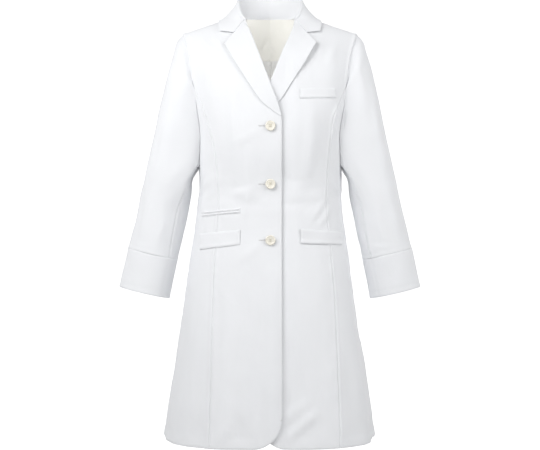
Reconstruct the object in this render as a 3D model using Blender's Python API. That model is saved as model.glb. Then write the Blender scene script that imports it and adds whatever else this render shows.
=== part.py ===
"""Women's tailored laboratory coat, hanging as worn, built as its separate cut pieces.

Metres, +Z up.  The wearer faces -Y, and the wearer's left is +X.  The origin is on the centre
plane at the height of the side neck points, where a hanger or a neck carries the coat.
"""

import math

import bmesh
import bpy
from mathutils import Vector
from mathutils.bvhtree import BVHTree

for old in list(bpy.data.objects):
    bpy.data.objects.remove(old, do_unlink=True)

# ---- cloth and layers: heights are measured outward from the coat's outer surface
CLOTH = 0.0014
SEAM_GAP = 0.0004
FACING_GAP = 0.0024
WELT_RISE = 0.0012
LAPEL_RISE = 0.0016
COLLAR_RISE = 0.0036
UNDERLAP_DROP = 0.0085

# ---- body shape: (height, half width, depth in front, depth behind)
STATIONS = (
    (0.040, 0.213, 0.048, 0.090),
    (-0.044, 0.209, 0.073, 0.099),
    (-0.100, 0.200, 0.094, 0.106),
    (-0.160, 0.190, 0.110, 0.109),
    (-0.220, 0.177, 0.120, 0.105),
    (-0.265, 0.1685, 0.123, 0.099),
    (-0.320, 0.1655, 0.120, 0.091),
    (-0.400, 0.1625, 0.110, 0.082),
    (-0.490, 0.1710, 0.114, 0.090),
    (-0.560, 0.1820, 0.122, 0.104),
    (-0.650, 0.1950, 0.131, 0.120),
    (-0.800, 0.2180, 0.147, 0.145),
    (-0.980, 0.2440, 0.167, 0.168),
)
SQUARENESS = 2.5
SHOULDER_ROLL = 0.130
NECK_X = 0.075
NECK_Z = 0.003
TIP_X = 0.200
TIP_Z = -0.0385
HEM_Z = -0.962

# ---- fronts (x is toward the wearer's own side, so it is negative past the centre line)
OVERLAP_X = -0.025
BREAK_Z = -0.2375
HEM_CORNER = 0.065
FACING_EDGE_X = 0.045
FACING_TOP_Z = -0.236
ROLL_RIGHT = ((0.0545, -0.020), (0.0376, -0.068), (0.0180, -0.122), (-0.0029, -0.178), (-0.0162, -0.213),
              (-0.0243, BREAK_Z))
ROLL_LEFT = ((0.0580, -0.020), (0.0435, -0.062), (0.0278, -0.097), (0.0065, -0.152), (-0.0185, -0.215),
             (-0.0243, BREAK_Z))
LAPEL_EDGE = ((0.1000, -0.0765), (0.0885, -0.0965), (0.0740, -0.1215), (0.0450, -0.167), (0.0170, -0.208),
              (-0.0205, BREAK_Z))
NOTCH = (0.0810, -0.0475)
PRINCESS_FRONT = {
    "left": ((0.1560, -0.200), (0.1405, -0.235), (0.1350, -0.280), (0.1325, -0.325), (0.1265, -0.390),
             (0.1255, -0.460), (0.1335, -0.530), (0.1425, -0.650), (0.1470, -0.780), (0.1510, HEM_Z)),
    "right": ((0.1500, -0.215), (0.1320, -0.275), (0.1200, -0.340), (0.1150, -0.430), (0.1220, -0.530),
              (0.1260, -0.650), (0.1290, -0.780), (0.1320, HEM_Z)),
}
PRINCESS_BACK = (
    (0.1500, -0.200), (0.1170, -0.270), (0.0960, -0.340), (0.0900, -0.420), (0.0990, -0.530),
    (0.1160, -0.690), (0.1280, -0.820), (0.1380, HEM_Z),
)
NECK_FRONT = (0.066, -0.010)
BACK_NECK = ((0.000, 0.0080), (0.030, 0.0065), (0.055, 0.0045))

# ---- armhole: front and back outlines from the shoulder tip to the underarm
ARMHOLE_FRONT = ((0.1915, -0.062), (0.1815, -0.095), (0.1735, -0.140), (0.1705, -0.168),
                 (0.1680, -0.205), (0.1690, -0.236))
ARMHOLE_BACK = ((0.1930, -0.062), (0.1865, -0.095), (0.1800, -0.140), (0.1765, -0.168),
                (0.1730, -0.205), (0.1705, -0.236))
UNDERARM_Z = -0.250
ARM_UPPER_SEGMENTS = 8
ARM_LOWER_SEGMENTS = 5
PRINCESS_START = 4

# ---- sleeves
SLEEVE_TOP_X = 0.2165
SLEEVE_TOP_Z = -0.065
SLEEVE_SLOPE = 0.2287
SLEEVE_INNER_X = 0.1705
SLEEVE_INNER_Z = -0.340
SLEEVE_INNER_SLOPE = 0.2040
SLEEVE_DEPTH_TOP = 0.068
SLEEVE_DEPTH_CUFF = 0.046
CUFF_SEAM_Z = -0.545
SLEEVE_END_Z = -0.632
SLEEVE_TILT = 0.233
SLEEVE_SHIFT = 0.0012
SLEEVE_START = 0.012
CAP_ROUNDING = 10
SLEEVE_ROWS = 13
CUFF_ROWS = 2

# ---- collar: neck seam, fold line and leaf edge from the centre back to the front end
COLLAR_NECK = ((0.0, 0.0500, 0.0102), (0.030, 0.0395, 0.0087), (0.055, 0.0268, 0.0068),
               (0.0730, 0.0040, 0.0060), (0.0685, -0.0165, 0.0020), (0.0595, -0.0300, -0.0062),
               (0.0520, -0.0370, -0.0115))
COLLAR_FOLD = ((0.0, 0.0660, 0.0530), (0.030, 0.0610, 0.0525), (0.054, 0.0440, 0.0500),
               (0.0690, 0.0180, 0.0450), (0.0700, -0.0050, 0.0310), (0.0645, -0.0260, 0.0075),
               (0.0560, -0.0420, -0.0130))
COLLAR_LEAF = ((0.0, 0.0800, -0.0100), (0.035, 0.0780, -0.0095), (0.070, 0.0640, -0.0085),
               (0.0960, 0.0380, -0.0062), (0.1115, 0.0060, -0.0055), (0.1160, -0.0240, -0.0210),
               (0.1110, -0.0440, -0.0435))
COLLAR_STATIONS = 14
FOLD_RADIUS = 0.0034
NOTCH_SHARE = 0.62
GORGE_REACH = 12   # how closely to its front end the collar is bent to the lapel's seam
PLY_GAP = 0.0002
STAND_SEGMENTS = 2
FOLD_SEGMENTS = 3
FALL_SEGMENTS = 4

# ---- pockets
WELT_LOWER_RIGHT = ((0.066, -0.4885), (0.158, -0.4970), (0.158, -0.5335), (0.066, -0.5215))
WELT_LOWER_LEFT = ((0.067, -0.4865), (0.160, -0.4930), (0.160, -0.5230), (0.067, -0.5195))
WELT_CHEST = ((0.066, -0.1780), (0.1455, -0.1745), (0.1455, -0.1965), (0.066, -0.2000))
JET_UPPER = ((0.066, -0.4405), (0.153, -0.4480), (0.153, -0.4520), (0.066, -0.4445))
JET_LOWER = ((0.066, -0.4475), (0.153, -0.4550), (0.153, -0.4590), (0.066, -0.4515))
SLIT_HEIGHT = 0.005
SLIT_MARGIN = 0.006
WELT_SLIT_DROP = 0.0075
BAG_WALL = 0.0012
BAG_TOP = -0.0030
BAG_HOLLOW_LOWER = 0.0150
BAG_HOLLOW_SMALL = 0.0110
BAG_DEPTH_LOWER = 0.165
BAG_DEPTH_CHEST = 0.110
BAG_DEPTH_TICKET = 0.034

# ---- buttons
BUTTON_X = 0.001
BUTTON_Z = {"top": -0.2610, "middle": -0.3880, "bottom": -0.5115}
BUTTON_RADIUS = 0.0112
BUTTON_THICKNESS = 0.0032
BUTTON_DISH = 0.0009
BUTTON_RIM = 0.0026
BUTTON_HOLE_RADIUS = 0.0010
BUTTON_HOLE_PITCH = 0.0034
BUTTON_LIFT = 0.0026
BUTTONHOLE_INNER_X = -0.0250
BUTTONHOLE_OUTER_X = 0.0035
BUTTONHOLE_HEIGHT = 0.0036
SHANK_RADIUS = 0.0012
THREAD_HALF = 0.00042
THREAD_CLEAR = 0.0012

CLOTH_WHITE = (0.86, 0.87, 0.88, 1.0)
LINING_CREAM = (0.84, 0.82, 0.74, 1.0)
BUTTON_IVORY = (0.80, 0.77, 0.66, 1.0)


# ---- the coat's outer surface
def station(z, column):
    """Smooth interpolation of one column of the body stations at a height."""
    rows = sorted(STATIONS)
    k = 0
    while k < len(rows) - 2 and z > rows[k + 1][0]:
        k += 1
    z0, z1 = rows[k][0], rows[k + 1][0]
    v0, v1 = rows[k][column], rows[k + 1][column]
    before = rows[max(k - 1, 0)]
    after = rows[min(k + 2, len(rows) - 1)]
    m0 = (v1 - before[column]) / (z1 - before[0])
    m1 = (after[column] - v0) / (after[0] - z0)
    h = z1 - z0
    t = (z - z0) / h
    return (
        (2 * t**3 - 3 * t**2 + 1) * v0
        + (t**3 - 2 * t**2 + t) * h * m0
        + (-2 * t**3 + 3 * t**2) * v1
        + (t**3 - t**2) * h * m1
    )


def ridge(x):
    """Height of the shoulder ridge, carried on over the neck opening."""
    slope = (TIP_Z - NECK_Z) / (TIP_X - NECK_X)
    return NECK_Z + slope * (abs(x) - NECK_X)


def drop_of(w):
    if w < math.pi / 2:
        return SHOULDER_ROLL * (1 - math.cos(w))
    return SHOULDER_ROLL * (1 + w - math.pi / 2)


def chart(x, z, back=False):
    """Surface coordinates (angle round the body, angle down from the ridge) of a point."""
    across = min(1.0, abs(x) / station(z, 1))
    theta = math.asin(across ** (SQUARENESS / 2))
    if back:
        theta = math.pi - theta
    drop = max(0.0, ridge(x) - z)
    if drop < SHOULDER_ROLL:
        w = math.acos(1 - drop / SHOULDER_ROLL)
    else:
        w = math.pi / 2 + drop / SHOULDER_ROLL - 1
    return (theta if x >= 0 else -theta, w)


def surface(theta, w):
    z = -0.1
    x = 0.0
    s = math.sin(theta)
    c = math.cos(theta)
    for _ in range(25):
        x = math.copysign(station(z, 1) * abs(s) ** (2 / SQUARENESS), s)
        z = 0.5 * z + 0.5 * (ridge(x) - drop_of(w))
    depth = station(z, 2) if c > 0 else station(z, 3)
    y = -math.copysign(depth * abs(c) ** (2 / SQUARENESS), c) * math.sin(min(w, math.pi / 2))
    return Vector((x, y, z))


def normal(theta, w):
    e = 0.002
    low = max(w - e, 0.0)
    across = surface(theta + e, w) - surface(theta - e, w)
    down = surface(theta, w + e) - surface(theta, low)
    n = down.cross(across)
    if n.length < 1e-12:
        return Vector((0, 0, 1))
    return n.normalized()


def spline(points, count, closed_end=True):
    """Catmull-Rom curve through the points, as count + 1 samples evenly spaced along it."""
    dense = []
    for i in range(len(points) - 1):
        p0 = points[max(i - 1, 0)]
        p1 = points[i]
        p2 = points[i + 1]
        p3 = points[min(i + 2, len(points) - 1)]
        for k in range(12):
            t = k / 12
            dense.append(tuple(
                0.5 * (2 * b + (c - a) * t + (2 * a - 5 * b + 4 * c - d) * t**2
                       + (3 * b - a - 3 * c + d) * t**3)
                for a, b, c, d in zip(p0, p1, p2, p3)
            ))
    dense.append(tuple(points[-1]))
    return spaced(dense, count)


def spaced(points, count):
    lengths = [0.0]
    for a, b in zip(points, points[1:]):
        lengths.append(lengths[-1] + math.dist(a, b))
    out = []
    k = 0
    for i in range(count + 1):
        goal = lengths[-1] * i / count
        while k < len(points) - 2 and lengths[k + 1] < goal:
            k += 1
        span = lengths[k + 1] - lengths[k]
        t = 0.0 if span == 0 else (goal - lengths[k]) / span
        out.append(tuple(a + (b - a) * t for a, b in zip(points[k], points[k + 1])))
    return out


def charted(points, back=False):
    return [chart(x, z, back) for x, z in points]


def coons(top, bottom, left, right):
    """Surface-coordinate grid filling four edges; rows run from top to bottom."""
    rows = len(left) - 1
    cols = len(top) - 1
    grid = []
    for i in range(rows + 1):
        v = i / rows
        line = []
        for j in range(cols + 1):
            u = j / cols
            line.append(tuple(
                (1 - v) * top[j][k] + v * bottom[j][k] + (1 - u) * left[i][k] + u * right[i][k]
                - (1 - u) * (1 - v) * top[0][k] - u * (1 - v) * top[-1][k]
                - (1 - u) * v * bottom[0][k] - u * v * bottom[-1][k]
                for k in (0, 1)
            ))
        grid.append(line)
    return grid


# ---- objects
def material(name, colour, roughness):
    mat = bpy.data.materials.new(name)
    mat.use_nodes = True
    shader = mat.node_tree.nodes["Principled BSDF"]
    shader.inputs["Base Color"].default_value = colour
    shader.inputs["Roughness"].default_value = roughness
    shader.inputs["Metallic"].default_value = 0.0
    return mat


def make(name, vertices, faces, colour=CLOTH_WHITE, roughness=0.85):
    mesh = bpy.data.meshes.new(name)
    mesh.from_pydata([tuple(v) for v in vertices], [], faces)
    bm = bmesh.new()
    bm.from_mesh(mesh)
    bmesh.ops.remove_doubles(bm, verts=bm.verts, dist=1e-7)
    bmesh.ops.recalc_face_normals(bm, faces=bm.faces)
    bm.to_mesh(mesh)
    bm.free()
    ob = bpy.data.objects.new(name, mesh)
    ob.data.materials.append(material(name, colour, roughness))
    bpy.context.scene.collection.objects.link(ob)
    return ob


def inset(points, amount, sides="tblr"):
    """Draw a grid's outer edges in toward their neighbours, leaving the seam gap."""
    rows = len(points)
    cols = len(points[0])
    moved = [[p.copy() for p in line] for line in points]
    for i in range(rows):
        if "l" in sides:
            moved[i][0] += (points[i][1] - points[i][0]).normalized() * amount
        if "r" in sides:
            moved[i][-1] += (points[i][-2] - points[i][-1]).normalized() * amount
    for j in range(cols):
        if "t" in sides:
            moved[0][j] += (points[1][j] - points[0][j]).normalized() * amount
        if "b" in sides:
            moved[-1][j] += (points[-2][j] - points[-1][j]).normalized() * amount
    return moved


def shell(name, outer, inner, wrap=False, **look):
    """Closed solid between two matching grids of points; wrap joins the last column to the first."""
    rows = len(outer)
    cols = len(outer[0])
    vertices = [p for line in outer for p in line] + [p for line in inner for p in line]
    half = rows * cols

    def at(i, j, side):
        return side * half + i * cols + j % cols

    faces = []
    last = cols if wrap else cols - 1
    for i in range(rows - 1):
        for j in range(last):
            faces.append((at(i, j, 0), at(i, j + 1, 0), at(i + 1, j + 1, 0), at(i + 1, j, 0)))
            faces.append((at(i, j, 1), at(i + 1, j, 1), at(i + 1, j + 1, 1), at(i, j + 1, 1)))
    for j in range(last):
        faces.append((at(0, j, 0), at(0, j, 1), at(0, j + 1, 1), at(0, j + 1, 0)))
        end = rows - 1
        faces.append((at(end, j, 0), at(end, j + 1, 0), at(end, j + 1, 1), at(end, j, 1)))
    if not wrap:
        for i in range(rows - 1):
            faces.append((at(i, 0, 0), at(i + 1, 0, 0), at(i + 1, 0, 1), at(i, 0, 1)))
            end = cols - 1
            faces.append((at(i, end, 0), at(i, end, 1), at(i + 1, end, 1), at(i + 1, end, 0)))
    return make(name, vertices, faces, **look)


def smoothstep(a, b, value):
    t = max(0.0, min(1.0, (value - a) / (b - a)))
    return t * t * (3 - 2 * t)


def underlap(x, z):
    """How far the left front sinks to pass behind the right one."""
    beside = smoothstep(0.062, 0.030, x)
    below = smoothstep(-0.070, -0.125, z)
    return -UNDERLAP_DROP * beside * below


def mirrored(point, side):
    return Vector((point.x * side, point.y, point.z))


def on_body(name, grid, side, rise, under=False, trim=SEAM_GAP, sides="tblr", **look):
    """Cloth piece over the body: grid in surface coordinates, rise is its underside's height."""
    points = []
    normals = []
    for line in grid:
        p_line = []
        n_line = []
        for theta, w in line:
            p = surface(theta, w)
            n = normal(theta, w)
            if under:
                p = p + n * underlap(p.x, p.z)
            p_line.append(p)
            n_line.append(n)
        points.append(p_line)
        normals.append(n_line)
    points = inset(points, trim, sides)
    pairs = [list(zip(a, b)) for a, b in zip(points, normals)]
    outer = [[mirrored(p + n * (rise + CLOTH), side) for p, n in line] for line in pairs]
    inner = [[mirrored(p + n * rise, side) for p, n in line] for line in pairs]
    return shell(name, outer, inner, **look)


# ---- armhole ring shared by the body panels and the sleeves
ring_front = [chart(x, z) for x, z in
              spline(((TIP_X, TIP_Z),) + ARMHOLE_FRONT[:PRINCESS_START], ARM_UPPER_SEGMENTS)]
ring_back = [chart(x, z, True) for x, z in
             spline(((TIP_X, TIP_Z),) + ARMHOLE_BACK[:PRINCESS_START], ARM_UPPER_SEGMENTS)]
underarm = (math.pi / 2, chart(station(UNDERARM_Z, 1), UNDERARM_Z)[1])
low_front = spaced(charted(spline(ARMHOLE_FRONT[PRINCESS_START - 1:], 12)) + [underarm],
                   ARM_LOWER_SEGMENTS)
low_back = spaced(charted(spline(ARMHOLE_BACK[PRINCESS_START - 1:], 12), True) + [underarm],
                  ARM_LOWER_SEGMENTS)

LONG_ROWS = 15
FRONT_COLS = 8
BACK_SHOULDER_COLS = 6
NECK_SEGMENTS = 2
EDGE_TURN = 0.010
BACK_SPLIT_Z = -0.19   # where the back panel's closely spaced shoulder rows end
FACING_TRIM = 0.003
FACING_ROWS = 14
princess_back = spline((ring_back[-1],) + tuple(charted(PRINCESS_BACK, True)), LONG_ROWS)
side_seam = spaced([(math.pi / 2, chart(station(z, 1), z)[1])
                    for z in (UNDERARM_Z, -0.4, -0.6, -0.8, HEM_Z)], LONG_ROWS)


def hem_arc(start, end, count):
    """Level hem between two angles round the body."""
    points = []
    for k in range(count + 1):
        theta = start + (end - start) * k / count
        x = station(HEM_Z, 1) * abs(math.sin(theta)) ** (2 / SQUARENESS)
        points.append((theta, chart(x, HEM_Z)[1]))
    return points


def front_opening(roll):
    """Neck edge, roll line down to the break, then the front edge down to the hem corner."""
    edge_end = HEM_Z + HEM_CORNER
    turn = [roll[-1], (OVERLAP_X, roll[-1][1] - EDGE_TURN)]
    neck = charted(spaced([(NECK_X, NECK_Z), NECK_FRONT, roll[0]], NECK_SEGMENTS))
    upper = charted(spline(roll, ARM_UPPER_SEGMENTS - NECK_SEGMENTS))
    lower = charted(spaced(turn + [(OVERLAP_X, edge_end)], LONG_ROWS))
    return neck + upper[1:] + lower[1:]


def hem_line(start, end, count, trim=0.0):
    """Rounded front corner, then the hem out to the princess seam."""
    radius = HEM_CORNER
    points = []
    for k in range(9):
        a = math.pi / 2 * k / 8
        points.append((start + radius * (1 - math.cos(a)), HEM_Z + trim + radius * (1 - math.sin(a))))
    points += [(start + radius + (end - start - radius) * k / 4, HEM_Z + trim) for k in range(1, 5)]
    return charted(spaced(points, count))


def shoulder_seam(count):
    """Points along the shoulder seam, from the side neck point to the shoulder tip."""
    points = []
    for k in range(count + 1):
        x = NECK_X + (TIP_X - NECK_X) * k / count
        points.append((x, ridge(x)))
    return points


NAMES = {1: "left", -1: "right"}
panels = {}
for side, roll in ((1, ROLL_LEFT), (-1, ROLL_RIGHT)):
    word = NAMES[side]
    princess_front = spline((ring_front[-1],) + tuple(charted(PRINCESS_FRONT[word])), LONG_ROWS)
    top = charted(shoulder_seam(FRONT_COLS))
    right_edge = ring_front + princess_front[1:]
    left_edge = front_opening(roll)
    bottom = hem_line(OVERLAP_X, PRINCESS_FRONT[word][-1][0], FRONT_COLS)
    grid = coons(top, bottom, left_edge, right_edge)
    panels[word, "front"] = on_body(word + "_front_panel", grid, side, -CLOTH, under=side > 0)

    grid = coons(low_front, hem_arc(princess_front[-1][0], math.pi / 2, ARM_LOWER_SEGMENTS),
                 princess_front, side_seam)
    panels[word, "side"] = on_body(word + "_side_front_panel", grid, side, -CLOTH)

    neck = charted(BACK_NECK, True)
    top = neck + charted(shoulder_seam(BACK_SHOULDER_COLS), True)
    right_edge = ring_back + princess_back[1:]
    centre_top = neck[0][1]
    waist = chart(0.0, BACK_SPLIT_Z, True)[1]
    hem_w = chart(0.0, HEM_Z, True)[1]
    left_edge = ([(math.pi, w) for (w,) in spaced([(centre_top,), (waist,)], ARM_UPPER_SEGMENTS)]
                 + [(math.pi, w) for (w,) in spaced([(waist,), (hem_w,)], LONG_ROWS)][1:])
    cols = len(top) - 1
    bottom = hem_arc(math.pi, princess_back[-1][0], cols)
    grid = coons(top, bottom, left_edge, right_edge)
    on_body(word + "_back_panel", grid, side, -CLOTH)

    grid = coons(low_back, hem_arc(princess_back[-1][0], math.pi / 2, ARM_LOWER_SEGMENTS),
                 princess_back, side_seam)
    on_body(word + "_side_back_panel", grid, side, -CLOTH)

    # front facing below the lapel, behind the front edge
    edge_x = OVERLAP_X + FACING_TRIM
    corner = HEM_Z + HEM_CORNER
    left_edge = charted(spaced([(edge_x, FACING_TOP_Z), (edge_x, corner)], FACING_ROWS))
    right_edge = charted(spaced([(FACING_EDGE_X, FACING_TOP_Z), (FACING_EDGE_X, HEM_Z + FACING_TRIM)],
                                FACING_ROWS))
    top = charted(spaced([(edge_x, FACING_TOP_Z), (FACING_EDGE_X, FACING_TOP_Z)], 4))
    bottom = hem_line(edge_x, FACING_EDGE_X, 4, FACING_TRIM)
    grid = coons(top, bottom, left_edge, right_edge)
    panels[word, "facing"] = on_body(word + "_front_facing", grid, side,
                                     -2 * CLOTH - FACING_GAP, under=side > 0, colour=LINING_CREAM)

    # turned-back lapel
    gorge = charted(spaced([roll[0], (0.066, -0.027), NOTCH, LAPEL_EDGE[0]], 6))
    outer_edge = charted(spline(LAPEL_EDGE, 10))
    roll_edge = charted(spline(roll, 10))
    foot = spaced([roll_edge[-1], outer_edge[-1]], 6)
    grid = coons(gorge, foot, roll_edge, outer_edge)
    on_body(word + "_lapel", grid, side, LAPEL_RISE, under=side > 0, trim=0.0006)


# ---- back neck facing
neck_line = ((-0.066, -0.0030), (-0.045, -0.0005), (-0.022, 0.0010), (0.0, 0.0020),
             (0.022, 0.0010), (0.045, -0.0005), (0.066, -0.0030))
lower_line = ((-0.112, -0.023), (-0.085, -0.056), (-0.045, -0.078), (0.0, -0.086),
              (0.045, -0.078), (0.085, -0.056), (0.112, -0.023))
top = [(a % (2 * math.pi), w) for a, w in charted(spline(neck_line, 16), True)]
bottom = [(a % (2 * math.pi), w) for a, w in charted(spline(lower_line, 16), True)]
grid = coons(top, bottom, spaced([top[0], bottom[0]], 4), spaced([top[-1], bottom[-1]], 4))
on_body("back_neck_facing", grid, 1, -2 * CLOTH - FACING_GAP, colour=LINING_CREAM)


# ---- sleeves: rings from the armhole down to the cuff end
def sleeve_ring():
    chain = ring_front + low_front[1:] + low_back[::-1][1:] + ring_back[::-1][1:-1]
    return [surface(theta, w) for theta, w in chain]


def sleeve_edges(z):
    outer = SLEEVE_TOP_X + (SLEEVE_TOP_Z - z) * SLEEVE_SLOPE
    inner = SLEEVE_INNER_X + max(0.0, SLEEVE_INNER_Z - z) * SLEEVE_INNER_SLOPE
    return outer, inner


def sleeve_section(level, count):
    """Oval of the sleeve cut square to the arm at a height on its centre line."""
    outer, inner = sleeve_edges(level)
    centre = (outer + inner) / 2
    half = (outer - inner) / 2
    share = smoothstep(-0.20, -0.60, level)
    depth = SLEEVE_DEPTH_TOP + (SLEEVE_DEPTH_CUFF - SLEEVE_DEPTH_TOP) * share
    points = []
    for k in range(count):
        a = 2 * math.pi * k / count
        x = math.cos(a) * half
        points.append(Vector((centre + x, -math.sin(a) * depth, level + x * SLEEVE_TILT)))
    return points


def sleeve_grid():
    ring = [p + Vector((SLEEVE_SHIFT, 0, 0)) for p in sleeve_ring()]
    count = len(ring)
    start = min(p.z for p in ring)
    rows = []
    for i in range(SLEEVE_ROWS + 1):
        v = i / SLEEVE_ROWS
        line = []
        for k in range(count):
            top = ring[k]
            head = 0.5 * (1 + math.cos(2 * math.pi * k / count))
            level = (start - SLEEVE_START) * (1 - v) + CUFF_SEAM_Z * v
            section = sleeve_section(level, count)[k]
            if i == 0:
                line.append(top)
                continue
            rise = (SLEEVE_TOP_Z - level) * head * (1 - v) ** 1.5
            lifted = Vector((section.x, section.y, section.z + rise))
            lifted.x -= rise * SLEEVE_SLOPE * head
            pull = (1 - v) ** (4 + CAP_ROUNDING * head ** 2)
            line.append(lifted.lerp(top, pull))
        rows.append(line)
    return rows


def grid_normals(points, wrap):
    rows = len(points)
    cols = len(points[0])
    out = []
    for i in range(rows):
        line = []
        for j in range(cols):
            up = points[max(i - 1, 0)][j]
            down = points[min(i + 1, rows - 1)][j]
            if wrap:
                before = points[i][(j - 1) % cols]
                after = points[i][(j + 1) % cols]
            else:
                before = points[i][max(j - 1, 0)]
                after = points[i][min(j + 1, cols - 1)]
            line.append((after - before).cross(down - up).normalized())
        out.append(line)
    return out


def sleeve_part(name, points, normals, first, last, side):
    """The columns from first to last of the sleeve, as one cloth piece."""
    cols = [j % len(points[0]) for j in range(first, last + 1)]
    part = inset([[line[j] for j in cols] for line in points], SEAM_GAP)
    outs = [[line[j] for j in cols] for line in normals]
    outer = [[mirrored(p, side) for p in line] for line in part]
    inner = [[mirrored(p - n * CLOTH, side) for p, n in zip(a, b)] for a, b in zip(part, outs)]
    return shell(name, outer, inner)


sleeve = sleeve_grid()
outward = grid_normals(sleeve, True)
mid = SLEEVE_ROWS // 2
centre = sum(sleeve[mid], Vector()) / len(sleeve[mid])
if (sleeve[mid][0] - centre).dot(outward[mid][0]) < 0:
    outward = [[-n for n in line] for line in outward]
FRONT_SEAM = ARM_UPPER_SEGMENTS + 2
BACK_SEAM = ARM_UPPER_SEGMENTS + 2 * ARM_LOWER_SEGMENTS - 2
RING_COUNT = len(sleeve[0])
cuff = []
for i in range(CUFF_ROWS + 1):
    level = CUFF_SEAM_Z + (SLEEVE_END_Z - CUFF_SEAM_Z) * i / CUFF_ROWS
    cuff.append(sleeve_section(level, RING_COUNT))
cuff_out = grid_normals(cuff, True)
if cuff_out[0][0].x < 0:
    cuff_out = [[-n for n in line] for line in cuff_out]
for side in (1, -1):
    word = NAMES[side]
    sleeve_part(word + "_top_sleeve", sleeve, outward, BACK_SEAM, FRONT_SEAM + RING_COUNT, side)
    sleeve_part(word + "_under_sleeve", sleeve, outward, FRONT_SEAM, BACK_SEAM, side)
    band = inset(cuff, SEAM_GAP, "tb")
    outer = [[mirrored(p, side) for p in line] for line in band]
    inner = [[mirrored(p - n * CLOTH, side) for p, n in zip(a, b)] for a, b in zip(band, cuff_out)]
    shell(word + "_cuff", outer, inner, wrap=True)


# ---- collar: one profile (stand, fold, fall) carried from one front end to the other
body_points = []
body_faces = []
STEPS_ROUND = 72
STEPS_DOWN = 30
for i in range(STEPS_DOWN + 1):
    for j in range(STEPS_ROUND):
        body_points.append(surface(2 * math.pi * (j + 0.5) / STEPS_ROUND - math.pi, 2.0 * i / STEPS_DOWN))
for i in range(STEPS_DOWN):
    for j in range(STEPS_ROUND):
        a = i * STEPS_ROUND + j
        b = i * STEPS_ROUND + (j + 1) % STEPS_ROUND
        body_faces.append((a, a + STEPS_ROUND, b + STEPS_ROUND, b))
body_tree = BVHTree.FromPolygons([tuple(p) for p in body_points], body_faces)
inside_point = Vector((0, 0, -0.15))


def lifted(point, rise):
    """The point, moved out until it stands clear of the body by at least the rise."""
    for _ in range(3):
        hit, n, _, _ = body_tree.find_nearest(point)
        if n.dot(hit - inside_point) < 0:
            n = -n
        height = (point - hit).dot(n)
        if height < rise:
            point = point + n * (rise - height)
    return point


def collar_station(neck, fold, leaf, end_share):
    """Points up the stand, round the fold and down the fall."""
    up = (fold - neck).normalized()
    out = leaf - neck
    out = (out - up * out.dot(up)).normalized()
    radius = FOLD_RADIUS * (1 - 0.15 * end_share)
    crest = fold - up * min(radius, (fold - neck).length * 0.5)
    line = [neck.lerp(crest, k / STAND_SEGMENTS) for k in range(STAND_SEGMENTS)]
    centre = crest + out * radius
    for k in range(FOLD_SEGMENTS + 1):
        a = math.pi * k / FOLD_SEGMENTS
        line.append(centre - out * radius * math.cos(a) + up * radius * math.sin(a))
    start = line[-1]
    notch = surface(*chart(*NOTCH))
    for k in range(1, FALL_SEGMENTS + 1):
        t = k / FALL_SEGMENTS
        plain = start.lerp(leaf, t)
        if t < NOTCH_SHARE:
            gorge = start.lerp(notch, t / NOTCH_SHARE)
        else:
            gorge = notch.lerp(leaf, (t - NOTCH_SHARE) / (1 - NOTCH_SHARE))
        pull = end_share ** GORGE_REACH
        line.append(plain.lerp(gorge, pull))
    free = STAND_SEGMENTS + FOLD_SEGMENTS
    return [p if i <= STAND_SEGMENTS else lifted(p, COLLAR_RISE if i > free else COLLAR_RISE * 0.8)
            for i, p in enumerate(line)]


neck_curve = [Vector(p) for p in spline(COLLAR_NECK, COLLAR_STATIONS)]
fold_curve = [Vector(p) for p in spline(COLLAR_FOLD, COLLAR_STATIONS)]
leaf_curve = [Vector(p) for p in spline(COLLAR_LEAF, COLLAR_STATIONS)]
half = []
for k in range(COLLAR_STATIONS + 1):
    half.append(collar_station(neck_curve[k], fold_curve[k], leaf_curve[k], k / COLLAR_STATIONS))
collar = [[mirrored(p, -1) for p in line] for line in half[:0:-1]] + half
collar_out = grid_normals(collar, False)
middle = COLLAR_STATIONS
if collar_out[middle][-1].y < 0:
    collar_out = [[-n for n in line] for line in collar_out]
collar = inset(collar, SEAM_GAP, "tb")


def at_height(height):
    return [[p + n * height for p, n in zip(a, b)] for a, b in zip(collar, collar_out)]


shell("upper_collar", at_height(PLY_GAP + CLOTH), at_height(PLY_GAP))
# the under collar stops one station short of each front end, inside the gorge seam
shell("under_collar", at_height(-PLY_GAP)[1:-1], at_height(-PLY_GAP - CLOTH)[1:-1])


# ---- welts, jets and pocket bags
def quad_grid(corners, rows, cols):
    top = charted(spaced(corners[:2], cols))
    bottom = charted(spaced([corners[3], corners[2]], cols))
    left = charted(spaced([corners[0], corners[3]], rows))
    right = charted(spaced([corners[1], corners[2]], rows))
    return coons(top, bottom, left, right)


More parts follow.
